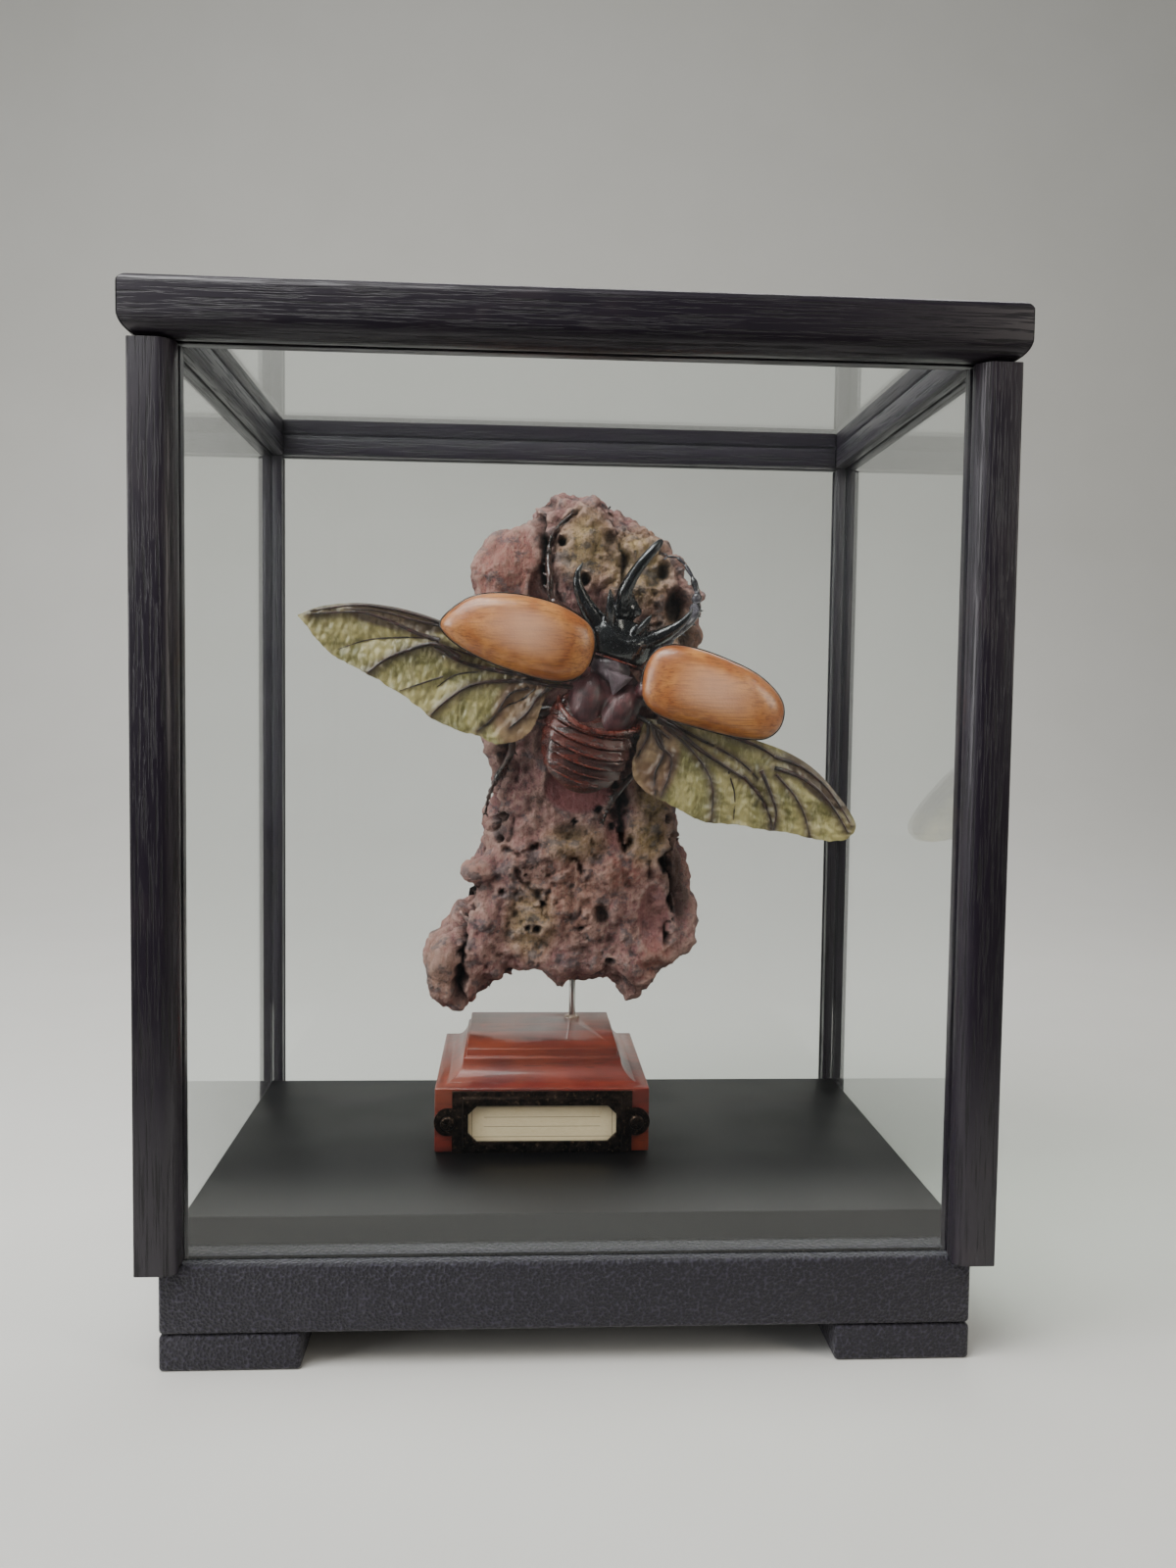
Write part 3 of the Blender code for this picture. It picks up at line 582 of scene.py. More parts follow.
def black_grit():
    made, tree, shader, coordinates = new_material("black_grit_coating", IOR=1.45,
                                                   Sheen_Weight=0.15, Sheen_Roughness=0.5)
    grit = add(tree, "cells", coordinates, GRIT_MM)
    clumps = add(tree, "noise", coordinates, 1.6, Detail=5, Roughness=0.7)
    wear = add(tree, "mask", add(tree, "noise", coordinates, 9, Detail=5, Roughness=0.65), 0.52, 0.74)
    body = add(tree, "mix", clumps, "09080E", "1E1A28")
    body = add(tree, "mix", add(tree, "mask", grit, 0.5, 0.85), body, "34303E")
    link(tree, shader, Base_Color=add(tree, "mix", add(tree, "MULTIPLY", wear, 0.35), body, "3A3740"))
    link(tree, shader, Roughness=add(tree, "spread", clumps, 0.38, 0.8))
    relief(tree, shader, (grit, 0.3), (clumps, 0.3))
    return made


GRIT = black_grit()


def eased_block(node, edge, segments=4):
    """A board as the frame has it, with its edges rounded."""
    board = block(node, *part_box(node))
    soften(board, edge, segments=segments)
    return board


finish(eased_block("base_board", 0.9 * MM), "grit_base_board", GRIT, ["base_board"])
for end in ("front", "back"):
    for side in ("left", "right"):
        node = f"foot_{end}_{side}"
        finish(eased_block(node, 0.8 * MM), "grit_" + node, GRIT, [node])

# %% [markdown]
# The floor board
#
# Inside, a board with a thick black lacquer stands a little over the ledge. It mirrors the plinth
# softly and gathers dust, which shows as pale specks. The lacquer has gone satin with age, so a
# low view finds it nearly black; the dust is a sparse cell pattern kept to its brightest centres.

# %% Floor board
def black_lacquer():
    made, tree, shader, coordinates = new_material("black_satin_lacquer", IOR=1.45, Specular_IOR_Level=0.2)
    haze = add(tree, "mask", add(tree, "noise", coordinates, 26, Detail=1.5, Roughness=0.4), 0.3, 0.75)
    specks = add(tree, "cells", coordinates, 2.6)
    dust = add(tree, "SUBTRACT", 1.0, add(tree, "mask", specks, 0.03, 0.07))
    link(tree, shader, Base_Color=add(tree, "mix", add(tree, "MULTIPLY", dust, 0.5), "040304", "6D6A66"))
    smear = add(tree, "spread", haze, 0.4, 0.5)
    link(tree, shader, Roughness=add(tree, "ADD", smear, add(tree, "MULTIPLY", dust, 0.5)))
    return made


finish(eased_block("floor_board", 0.35 * MM, segments=3), "lacquered_floor_board",
       black_lacquer(), ["floor_board"])

# %% [markdown]
# The panes
#
# The panes are 2 mm float glass with ground edges. In a render, solid glass lets hardly any light
# into a case, because a path tracer seldom finds a lamp through two bends. The usual cure is used
# here: what the eye sees is real glass, and for a shadow ray the pane is simply clear. Each pane
# is a block with its edges ground by a narrow bevel, and that bevel is what shows as the two
# bright lines along the bottom of the front pane.

# %% Panes
GROUND_EDGE = 0.35 * MM


def float_glass():
    made, tree, shader, _ = new_material(
        "clear_float_glass", Base_Color="FBFDFC", Transmission_Weight=1.0, IOR=1.5, Roughness=0.0)
    clear = add(tree, "BsdfTransparent", "F2F7F4")
    shadow = add(tree, "LightPath").outputs["Is Shadow Ray"]
    link(tree, tree.nodes["Material Output"], Surface=add(tree, "MixShader", shadow, shader, clear))
    return made


GLASS = float_glass()
for side in ("front", "back", "left", "right", "top"):
    node = "glass_" + side
    finish(eased_block(node, GROUND_EDGE, segments=1), "ground_" + node, GLASS, [node],
           smooth=0)

# %% [markdown]
# Red mahogany under gloss
#
# The plinth is mahogany stained red and sprayed with many coats of clear lacquer. The wood under
# it is lively, with orange and dark red bands and short dark pores, while the surface above is
# smooth and mirrors the room. So colour comes from a wood pattern below, and the gloss from a
# separate coat with its own low roughness, which is how the real finish is layered.

# %% Red mahogany
def red_mahogany():
    made, tree, shader, coordinates = new_material(
        "lacquered_red_mahogany", IOR=1.5, Roughness=0.42, Coat_Weight=0.6, Coat_Roughness=0.1,
        Coat_IOR=1.52)
    lengthwise = add(tree, "stretch", coordinates, (0.07, 0.8, 1.0), Rotation=(0.2, 0.06, 0.05))
    bands = add(tree, "noise", lengthwise, 3.2, Detail=5, Roughness=0.6, Distortion=0.5)
    pores = add(tree, "mask", add(tree, "noise", lengthwise, 0.35, Detail=2), 0.6, 0.7)
    flame = add(tree, "mask", add(tree, "noise", coordinates, 26, Detail=2, Distortion=0.8), 0.38, 0.68)
    wood = add(tree, "mix", add(tree, "mask", bands, 0.3, 0.72), "380B0A", "6E1D17")
    wood = add(tree, "mix", add(tree, "MULTIPLY", flame, 0.5), wood, "94401F")
    link(tree, shader, Base_Color=add(tree, "mix", add(tree, "MULTIPLY", pores, 0.6), wood, "2A0908"))
    orange_peel = add(tree, "noise", coordinates, 1.1, Detail=2)
    relief(tree, shader, (orange_peel, 0.012), (pores, -0.02))
    return made


MAHOGANY = red_mahogany()
print(MAHOGANY.name, "has", len(MAHOGANY.node_tree.nodes), "nodes")

# %% [markdown]
# The plinth
#
# A square block carries a cove, a narrow fillet and a flat cap. On a router the whole moulding is
# one pass along each side; here it is the top face of a block, pushed up and drawn in again and
# again along a quarter circle. Every step scales about the middle of the face, so the mitres at
# the corners come out true. A fine bevel then takes the edges off as sandpaper would.

# %% Plinth
PLINTH_BLOCK = 15 * MM
COVE = 5.5 * MM
FILLET = 0.75 * MM
CAP = 2 * MM
COVE_STEPS = 14
SOCKET_RADIUS = 1.2 * MM
SOCKET_DEPTH = 12 * MM  # half of it lies over the cap


def build_plinth():
    low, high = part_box("plinth")
    plinth = block("plinth", low, (high.x, high.y, low.z + PLINTH_BLOCK))
    edit(plinth)
    pick(plinth, lambda f: f.normal.z > 0.9)
    centre = (low + high) / 2
    half = (high.x - low.x) / 2
    turns = [math.pi / 2 * i / COVE_STEPS for i in range(COVE_STEPS + 1)]
    cove = [(COVE * (math.cos(a) - math.cos(b)), COVE * (math.sin(b) - math.sin(a)))
            for a, b in zip(turns, turns[1:])]
    for up, inset in ((0, FILLET), *cove, (0, FILLET), (CAP, 0)):
        push(up, (half - inset) / half, centre)
        half -= inset
    done()
    rod_low, rod_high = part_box("support_rod")
    axis = (rod_low + rod_high) / 2
    socket = start(bpy.ops.mesh.primitive_cylinder_add, "socket", radius=SOCKET_RADIUS,
                   depth=SOCKET_DEPTH, vertices=48, location=(axis.x, axis.y, high.z))
    cut(plinth, socket)
    soften(plinth, 0.3 * MM, segments=3, angle=35)
    return plinth


finish(build_plinth(), "mahogany_plinth", MAHOGANY, ["plinth"], smooth=30)

# %% [markdown]
# The rod and its glue
#
# A bright steel rod goes from the plinth into the driftwood. Drawn wire has faint lines along its
# length, so the roughness is stretched that way. At the plinth a bead of clear glue has risen
# round it; a squashed ball, cut flat at the bottom, has the right meniscus.

# %% Rod and glue
def drawn_steel():
    made, tree, shader, coordinates = new_material("bright_drawn_steel", Metallic=1.0)
    lines = add(tree, "noise", add(tree, "stretch", coordinates, (1, 1, 0.03)), 0.3, Detail=3)
    link(tree, shader, Base_Color=add(tree, "mix", lines, "B9B6B2", "DAD8D5"))
    link(tree, shader, Roughness=add(tree, "spread", lines, 0.14, 0.3))
    relief(tree, shader, (lines, 0.01))
    return made


def clear_glue():
    made, tree, shader, coordinates = new_material(
        "clear_epoxy_glue", IOR=1.52, Transmission_Weight=0.75, Roughness=0.06)
    bubbles = add(tree, "noise", coordinates, 0.5, Detail=2)
    link(tree, shader, Base_Color=add(tree, "mix", bubbles, "D9B7A0", "F1DDD0"))
    relief(tree, shader, (bubbles, 0.05))
    return made


rod_low, rod_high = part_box("support_rod")
rod_axis = (rod_low + rod_high) / 2
rod = start(bpy.ops.mesh.primitive_cylinder_add, "rod", radius=(rod_high.x - rod_low.x) / 2,
            depth=rod_high.z - rod_low.z, vertices=48, location=rod_axis)
soften(rod, 0.15 * MM, segments=3)
finish(rod, "drawn_steel_rod", drawn_steel(), ["support_rod"])

plinth_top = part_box("plinth")[1].z
glue = start(bpy.ops.mesh.primitive_uv_sphere_add, "glue", (1, 0.85, 0.42), radius=2.1 * MM,
             segments=32, ring_count=16, location=(rod_axis.x, rod_axis.y, plinth_top))
saw_end(glue, (0, 0, plinth_top + 0.02 * MM), (0, 0, -1))
finish(glue, "glue_bead", clear_glue())

# %% [markdown]
# The card holder
#
# Holders like this are stamped from sheet brass and antiqued: darkened all over, then rubbed so
# that the edges shine again. The stamping is a flat flange, a raised box with a window whose
# corners are cut off, and a round ear at each side. The parts are blocks and discs joined and cut
# with each other. The bevel modifier can give its own faces another material, and that is used to
# put the rubbed metal exactly on the edges.

# %% Card holder
FLANGE = 0.7 * MM
EAR_RADIUS = 3.2 * MM
EAR_OUTSET = 1 * MM
SCREW_HOLE = 1 * MM
RAISED_MARGIN = 2.2 * MM
RAISED_LIP = 1 * MM
WINDOW_MARGIN = (1.55 * MM, 2 * MM)
WINDOW_CORNER = 2 * MM
HOLDER_WALL = 0.8 * MM
EASED = 0.16 * MM


def antique_brass(name, worn):
    made, tree, shader, coordinates = new_material(name, Metallic=1.0)
    patina = add(tree, "noise", coordinates, 2.4, Detail=6, Roughness=0.65)
    rubbed = add(tree, "mask", add(tree, "noise", coordinates, 0.9, Detail=4), 0.54 - worn, 0.82 - worn)
    dark = add(tree, "mix", add(tree, "mask", patina, 0.35, 0.7), "1E1613", "45372F")
    link(tree, shader, Base_Color=add(tree, "mix", rubbed, dark, "8A705A"))
    link(tree, shader, Roughness=add(tree, "spread", patina, 0.26, 0.48))
    relief(tree, shader, (patina, 0.05))
    return made


ANTIQUE = antique_brass("antiqued_brass", 0.0)
RUBBED = antique_brass("antiqued_brass_rubbed_edge", 0.3)


def disc(name, radius, centre, depth, vertices=64):
    """A flat disc that faces the front."""
    return start(bpy.ops.mesh.primitive_cylinder_add, name, radius=radius, depth=depth,
                 vertices=vertices, location=centre, rotation=(math.pi / 2, 0, 0))


def build_holder():
    low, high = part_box("card_holder")
    centre, back = (low + high) / 2, high.y
    half_x = high.x - centre.x - EAR_RADIUS - EAR_OUTSET
    half_z = high.z - centre.z
    holder = block("holder", (centre.x - half_x, back - FLANGE, low.z), (centre.x + half_x, back, high.z))
    ears = [Vector((centre.x + side * (half_x + EAR_OUTSET), back - FLANGE / 2, centre.z))
            for side in (-1, 1)]
    for ear in ears:
        cut(holder, disc("ear", EAR_RADIUS, ear, 0.94 * FLANGE), "UNION")
        cut(holder, disc("hole", SCREW_HOLE, ear, 3 * FLANGE))
    raised_half = Vector((half_x - RAISED_MARGIN, 0, half_z - RAISED_LIP))
    raised = block("raised", (centre.x - raised_half.x, low.y, centre.z - raised_half.z),
                   (centre.x + raised_half.x, back - FLANGE / 2, centre.z + raised_half.z))
    edit(raised)
    pick(raised, lambda f: f.normal.y < -0.9)
    bpy.ops.transform.resize(value=(0.975, 1, 0.94), center_override=(centre.x, low.y, centre.z))
    done()
    cut(holder, raised, "UNION")
    pocket = raised_half - Vector((HOLDER_WALL, 0, HOLDER_WALL))
    carve(holder, (centre.x - pocket.x, low.y + HOLDER_WALL, centre.z - pocket.z),
          (centre.x + pocket.x, back + MM, centre.z + pocket.z))
    window = raised_half - Vector((WINDOW_MARGIN[0], 0, WINDOW_MARGIN[1]))
    opening = block("window", (centre.x - window.x, low.y - MM, centre.z - window.z),
                    (centre.x + window.x, back + MM, centre.z + window.z))
    round_edges(opening, lambda e: abs(along(e).y) > 0.9, WINDOW_CORNER, 1)
    cut(holder, opening)
    holder.data.materials.append(ANTIQUE)
    holder.data.materials.append(RUBBED)
    apply_now(holder, "BEVEL", width=EASED, segments=2, limit_method="ANGLE",
              angle_limit=math.radians(30), material=1)
    return holder


finish(build_holder(), "stamped_card_holder", None, ["card_holder"], smooth=30)

# %% [markdown]
# The two screws
#
# Small pan-head screws with a cross slot hold the ears. A disc gets a round shoulder from a bevel
# on its front edge, two thin blocks cut the cross, and a finer bevel eases what is left sharp.

# %% Screws
HEAD_RISE = 0.9 * MM
SHOULDER_ROUND = 0.62 * MM
SHANK_RADIUS = 0.65 * MM
SLOT = (2.3 * MM, 0.42 * MM, 0.5 * MM)  # length, width, depth


def build_screw(node, turn):
    low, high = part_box(node)
    centre = (low + high) / 2
    radius = (high.x - low.x) / 2
    head_middle = Vector((centre.x, low.y + HEAD_RISE / 2, centre.z))
    head = disc(node, radius, head_middle, HEAD_RISE, vertices=48)
    round_edges(head, lambda e: near(middle(e).y, low.y) and abs(along(e).y) < 0.1, SHOULDER_ROUND, 5)
    for angle in (turn, turn + math.pi / 2):
        slot = block("slot", Vector((-SLOT[0], -SLOT[2], -SLOT[1])) / 2,
                     Vector((SLOT[0], SLOT[2], SLOT[1])) / 2)
        slot.matrix_world = Matrix.Translation((centre.x, low.y, centre.z)) @ Matrix.Rotation(angle, 4, "Y")
        cut(head, slot)
    shank = disc("shank", SHANK_RADIUS, (centre.x, (low.y + HEAD_RISE + high.y) / 2, centre.z),
                 high.y - low.y - HEAD_RISE, vertices=24)
    head = join(node, [shank, head])
    head.data.materials.append(ANTIQUE)
    head.data.materials.append(RUBBED)
    apply_now(head, "BEVEL", width=0.06 * MM, segments=2, limit_method="ANGLE",
              angle_limit=math.radians(40), material=1)
    return head


for side, turn in (("left", 0.35), ("right", 1.1)):
    finish(build_screw("card_screw_" + side, turn), "cross_screw_" + side, None,
           ["card_screw_" + side], smooth=30)

# %% [markdown]
# The card
#
# The label is left bare, with only the thin ruled border and two writing lines that blank
# specimen cards come with. Paper is never one colour: it is foxed in soft spots. The lines are
# drawn by how far a point is from the middle of the card.

# %% Card
RULE = 0.14 * MM
BORDER = (16.3 * MM, 3.5 * MM)  # from the middle of the card to the ruled border
WRITING = (13.5 * MM, 1.1 * MM)  # half the length of a writing line, and how far it is off the middle


def cream_card():
    low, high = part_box("card")
    centre = (low + high) / 2
    made, tree, shader, coordinates = new_material("cream_laid_card", Roughness=0.85, IOR=1.45)
    split = add(tree, "SeparateXYZ", coordinates).outputs
    across = add(tree, "ABSOLUTE", add(tree, "SUBTRACT", split["X"], centre.x))
    up = add(tree, "ABSOLUTE", add(tree, "SUBTRACT", split["Z"], centre.z))

    def rule(distance, at):
        return add(tree, "COMPARE", distance, at, RULE / 2)

    inside_x = add(tree, "LESS_THAN", across, BORDER[0])
    inside_z = add(tree, "LESS_THAN", up, BORDER[1])
    sides = add(tree, "MULTIPLY", rule(across, BORDER[0]), inside_z)
    ends = add(tree, "MULTIPLY", rule(up, BORDER[1]), inside_x)
    writing = add(tree, "MULTIPLY", rule(up, WRITING[1]), add(tree, "LESS_THAN", across, WRITING[0]))
    ink = add(tree, "MAXIMUM", add(tree, "MAXIMUM", sides, ends), writing)
    fibres = add(tree, "noise", add(tree, "stretch", coordinates, (0.3, 1, 1)), 0.25, Detail=3)
    foxing = add(tree, "mask", add(tree, "noise", coordinates, 4, Detail=4), 0.55, 0.8)
    paper = add(tree, "mix", fibres, "D9BF98", "EBD6B4")
    paper = add(tree, "mix", add(tree, "MULTIPLY", foxing, 0.4), paper, "C39A68")
    link(tree, shader, Base_Color=add(tree, "mix", add(tree, "MULTIPLY", ink, 0.7), paper, "5A3A2C"))
    relief(tree, shader, (fibres, 0.02))
    return made


finish(eased_block("card", 0.05 * MM, segments=1), "bare_label_card", cream_card(), ["card"])

# %% [markdown]
# Weathered driftwood
#
# Driftwood has lost its bark and its soft early wood. What is left is greyed on top, pink or
# yellow where it is fresh and dull all over, but for a few places that were rubbed smooth; its
# cavities are painted almost black, as painted shade. Where each of these is depends on the shape,
# so the carving below leaves five masks on the mesh as attributes: the cavity mask of painted shade,
# worn, rubbed, rosy and ochre. The material only has to mix its colours by them and add fibres and
# fine pores.

# %% Driftwood material
def driftwood_material():
    made, tree, shader, coordinates = new_material("weathered_driftwood", IOR=1.45)
    upright = add(tree, "stretch", coordinates, (1, 1, 0.12), Rotation=(0, 0.12, 0))
    fibres = add(tree, "noise", upright, 0.5, Detail=5, Roughness=0.65, Distortion=0.4)
    patches = add(tree, "noise", coordinates, 9, Detail=5, Roughness=0.6)
    speckle = add(tree, "noise", coordinates, 1.0, Detail=4, Roughness=0.7)
    blues = add(tree, "noise", add(tree, "stretch", coordinates, (1, 1, 1.3)), 4.5, Detail=5, Roughness=0.7)
    pores = add(tree, "mask", add(tree, "noise", coordinates, 0.6, Detail=2), 0.6, 0.7)
    wood = add(tree, "mix", add(tree, "mask", patches, 0.36, 0.62), "7C4D54", "946D68")
    wood = add(tree, "mix", add(tree, "Attribute", attribute_name="rosy"), wood, "8E564F")
    wood = add(tree, "mix", add(tree, "Attribute", attribute_name="ochre"), wood, "957A52")
    wood = add(tree, "mix", add(tree, "mask", fibres, 0.35, 0.75), wood,
               add(tree, "mix", 0.3, wood, "B89C8A"))
    wood = add(tree, "mix", add(tree, "MULTIPLY", add(tree, "mask", speckle, 0.5, 0.7), 0.5), wood, "33221F")
    wood = add(tree, "mix", add(tree, "MULTIPLY", pores, 0.5), wood, "3A2823")
    wood = add(tree, "mix", add(tree, "MULTIPLY", add(tree, "Attribute", attribute_name="worn"), 0.45),
               wood, "B4958A")
    wood = add(tree, "mix", add(tree, "MULTIPLY", add(tree, "mask", blues, 0.5, 0.62), 0.6), wood, "4B4B52")
    wood = add(tree, "mix", add(tree, "Attribute", attribute_name="rubbed"), wood, "7A4142")
    # The cavity mask is painted shade: it darkens the hollows of the wood nearly to black.
    cavity_shade = add(tree, "Attribute", attribute_name="cavity_shade")
    link(tree, shader, Base_Color=add(tree, "mix", cavity_shade, wood, "120B09"))
    dull = add(tree, "spread", add(tree, "Attribute", attribute_name="rubbed"), 0.85, 0.38)
    link(tree, shader, Roughness=dull)
    relief(tree, shader, (fibres, 0.35), (speckle, 0.9), (add(tree, "SUBTRACT", 1.0, pores), 0.15))
    return made


DRIFTWOOD = driftwood_material()
print(DRIFTWOOD.name, "has", len(DRIFTWOOD.node_tree.nodes), "nodes")

# %% [markdown]
# The shape of the driftwood
#
# No primitive is near to a worn root, and no bevel gives one, so this piece starts from its
# outline: a ring of points on the silhouette, filled and pushed back to its thickness. A voxel
# remesh turns the slab into an even skin, and smoothing wears its edges round, as the sea did.
# Then the skin is carved like clay by a few lists that are meant to be read: bulges and scoops
# with a centre and a size, cracks along lines, and worm holes. Noises of several sizes add lumps,
# broken chunks, crumbs, pits and fibres, less of them where the wood is rubbed smooth.

# %% Outline and features of the driftwood, in millimetres
WOOD_EDGE = (
    (-26, 53.1), (-34.2, 54.9), (-36, 62.5), (-35.8, 69.6), (-29.4, 75.5), (-27.1, 80.5),
    (-22.2, 83.6), (-26, 89), (-21.3, 95), (-18.3, 102), (-19.8, 103), (-18.4, 113), (-21.7, 122.7),
    (-20.5, 140), (-22.5, 158), (-25, 166.6), (-23.3, 171.3), (-18.9, 175.3), (-13.8, 176.2),
    (-8.9, 178.2), (-7.9, 181.7), (-4.5, 183.2), (-3, 185.6), (9.4, 185), (10.7, 182.1), (17.2, 180),
    (24.2, 175), (30.9, 168.2), (33, 163.5), (37, 161), (34.2, 151), (33, 147), (31, 140), (28, 125),
    (29.7, 105.4), (30.6, 97.3), (33.2, 93.5), (35.5, 81.3), (36.2, 70.3), (29.1, 66.7), (24, 63.1),
    (21.1, 56.2), (15.5, 54.7), (16.5, 57.4), (14.1, 60.5), (6.5, 61), (-0.6, 59.2), (-7.4, 62.6),
    (-13.5, 63.3), (-14.5, 60), (-18.5, 59.5), (-21.5, 54.7),
)  # fmt: skip
BULGES = (  # x, z, half width, half height, rise, rosy, ochre
    (-14, 163, 12, 15, 1.6, 1.0, 0.0), (5, 172, 9, 12, 1.6, 0.1, 0.8), (18, 167, 11, 13, 1.2, 0.0, 0.9),
    (27, 148, 9, 14, 0.6, 0.3, 0.5), (-31, 65, 5, 10, 2.5, 0.2, 0.2), (-22, 90, 5, 3, 2.5, 0.8, 0.0),
    (2, 84, 14, 14, 2.2, 0.5, 0.1), (22, 99, 8, 9, 1.2, 0.1, 0.7), (24, 66, 6, 9, 1.5, 0.9, 0.0),
    (15, 90, 7, 6, 1.4, 0.9, 0.0), (8, 113, 7, 7, 0.8, 0.8, 0.0), (-17, 118, 4, 9, 0.8, 0.0, 0.0),
    (-8, 77, 8, 12, 0.4, 0.0, 0.65), (3, 97, 10, 6, 0.4, 0.1, 0.55), (23, 110, 6, 14, 0.3, 0.0, 0.8),
)  # fmt: skip
# The last column, dark, is how much painted shade the hollow of a scoop gets.
SCOOPS = (  # x, z, half width, half height, depth, rubbed, dark
    (3.6, 111.0, 9.0, 6.4, 1.2, 1.0, 0.0), (31, 87, 4.6, 12, 3.2, 0.0, 0.75),
    (23.5, 78, 4.2, 9, 2.2, 0.45, 0.0), (28, 157, 3.4, 5, 4.5, 0.0, 0.9),
    (24.6, 166, 1.9, 2.6, 3.0, 0.0, 0.9), (31.5, 150, 2.2, 5, 3.5, 0.0, 0.8),
    (-6.6, 160, 3, 6, 2.4, 0.3, 0.35), (11, 174, 1.7, 2.2, 1.8, 0.0, 0.7),
    (-6, 90, 5, 4, 1.6, 0.0, 0.3), (2, 100, 4.5, 2.4, 1.7, 0.0, 0.5), (13.5, 101, 3, 6, 1.6, 0.5, 0.0),
    (10, 79, 2, 2.8, 2.6, 0.0, 0.8), (-15, 100, 3, 3, 1.5, 0.0, 0.4), (26.8, 92.5, 2, 2.4, 3, 0.0, 1.0),
)  # fmt: skip
CRACKS = (  # half width, depth and the line that it follows
    (1.5, 4.2, ((-8.2, 181), (-6.6, 176), (-4.6, 171), (-4.9, 164), (-3.4, 157), (-2.6, 144))),
    (0.7, 1.8, ((3.4, 180.5), (0, 178.6), (-2.4, 174), (-2.8, 168), (-1.4, 160), (-0.8, 148))),
    (1.7, 7.0, ((-14.6, 128), (-14.3, 120), (-15.2, 113), (-18, 107), (-20, 100.5))),
    (1.8, 7.0, ((13.4, 114), (14.4, 109), (14.6, 101), (16.2, 95.5))),
    (1.6, 7.0, ((-22.4, 84.5), (-26.6, 79), (-24.6, 72), (-26, 64), (-24.6, 57), (-21, 54))),
    (1.1, 4.0, ((29.2, 99), (25.6, 93), (28.6, 87), (27.6, 79), (26.2, 72))),
    (0.9, 1.8, ((-12, 90), (-8, 87.4), (-5.5, 84))),
    (0.8, 1.6, ((-1, 96), (2, 92.6), (5.6, 89.4))),
    (0.8, 1.6, ((-14, 96), (-10, 94.6), (-7, 97))),
    (0.8, 2.0, ((13, 183), (12.4, 176), (15, 169), (13.6, 160), (15, 151))),
)  # fmt: skip
WORM_HOLES = ((-1, 172.8, 0.95), (4.5, 163.4, 1.15), (-15.6, 103.5, 0.9), (12.3, 66.5, 0.9),
              (27.5, 103.5, 0.8), (2.8, 102.6, 0.6), (-8.6, 75.5, 0.5))  # x, z, radius
SMALL_HOLES = 11
SLAB_VOXEL, WOOD_VOXEL = 1.1 * MM, 0.62 * MM
BULGE_ROOM = 1.2 * MM  # what the bulges need, before and behind the slab
WOOD_ROUND = 7  # how far in from the silhouette the slab is worn
print(len(WOOD_EDGE), "outline points,", len(CRACKS), "cracks,", len(SCOOPS), "scoops")

# %% [markdown]
# Brushes
#
# A sculptor would push the skin in and out with a brush. A brush here is a function that gives
# each point of the skin a share from 0 to 1: near a line for a crack, inside an ellipse for a
# bulge or a scoop, and by noise or by random cells for lumps, pits and broken chunks.

# %% Brushes
def line_distance(points, line):
    """How far each 2D point is from a line of straight stretches."""
    best = np.full(len(points), 1e9)
    for start, end in zip(np.array(line[:-1], float), np.array(line[1:], float)):
        run = end - start
        share = np.clip(((points - start) @ run) / (run @ run), 0, 1)
        best = np.minimum(best, np.linalg.norm(points - start - share[:, None] * run, axis=1))
    return best


def dome(points, x, z, half_width, half_height):
    """1 at the middle of an ellipse, 0 at its edge, smooth between."""
    reach = np.hypot((points[:, 0] - x) / half_width, (points[:, 1] - z) / half_height)
    return np.clip(1 - reach**2, 0, 1)


def noise_at(places, size, octaves=1):
    """A fractal noise of about -1 to 1 at each place, its lumps about size across."""
    size = np.broadcast_to(np.array(size, float), 3)
    return np.array([noise.fractal(Vector(place), 1.0, 2.0, octaves) for place in places / size])


def pits_at(places, size):
    """1 in the middle of a scattered pit, 0 outside it."""
    near_cell = np.array([noise.voronoi(Vector(place))[0][0] for place in places / size])
    return np.clip(1 - near_cell / 0.32, 0, 1)


def chunks_at(places, size):
    """0 in the gaps between angular lumps, 1 well inside them."""
    cells = [noise.voronoi(Vector(place))[0] for place in places / size]
    return np.clip(np.array([cell[1] - cell[0] for cell in cells]) / 0.3, 0, 1)


print("halfway out, an ellipse gives a share of", dome(np.array([[0.5, 0.0]]), 0, 0, 1, 1)[0])

# %% [markdown]
# Reading and writing the skin
#
# The skin has some sixty thousand points, so their places and normals are read into arrays,
# changed there all at once and written back. One measure is taken from them: how far a point
# lies below the smoothed skin around it, which says where shade is painted and what is worn.

# %% Reading and writing the skin
def hollowness(item, rounds):
    """How far each vertex lies below the smoothed surface around it, in millimetres."""
    places, normals = read_mesh(item)
    ends = np.empty(len(item.data.edges) * 2, int)
    item.data.edges.foreach_get("vertices", ends)
    first, second = ends[0::2], ends[1::2]
    number = np.bincount(ends, minlength=len(places))
    smooth = places
    for _ in range(rounds):
        smooth = np.stack([(np.bincount(first, smooth[second, k], len(places))
                            + np.bincount(second, smooth[first, k], len(places))) / number
                           for k in range(3)], axis=1)
    return np.einsum("ij,ij->i", smooth - places, normals)


def read_mesh(item):
    """Vertex places in millimetres, and normals."""
    count = len(item.data.vertices)
    places, normals = np.empty(count * 3), np.empty(count * 3)
    item.data.vertices.foreach_get("co", places)
    item.data.vertices.foreach_get("normal", normals)
    return places.reshape(-1, 3) / MM, normals.reshape(-1, 3)


def write_mesh(item, places):
    item.data.vertices.foreach_set("co", (places * MM).ravel())
    item.data.update()


def write_attribute(item, name, values):
    layer = item.data.attributes.new(name, "FLOAT", "POINT")
    layer.data.foreach_set("value", np.clip(values, 0, 1).astype(np.float32))


wood_low, wood_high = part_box("driftwood")
print("the driftwood's node is", [round(v, 4) for v in wood_high - wood_low], "m")

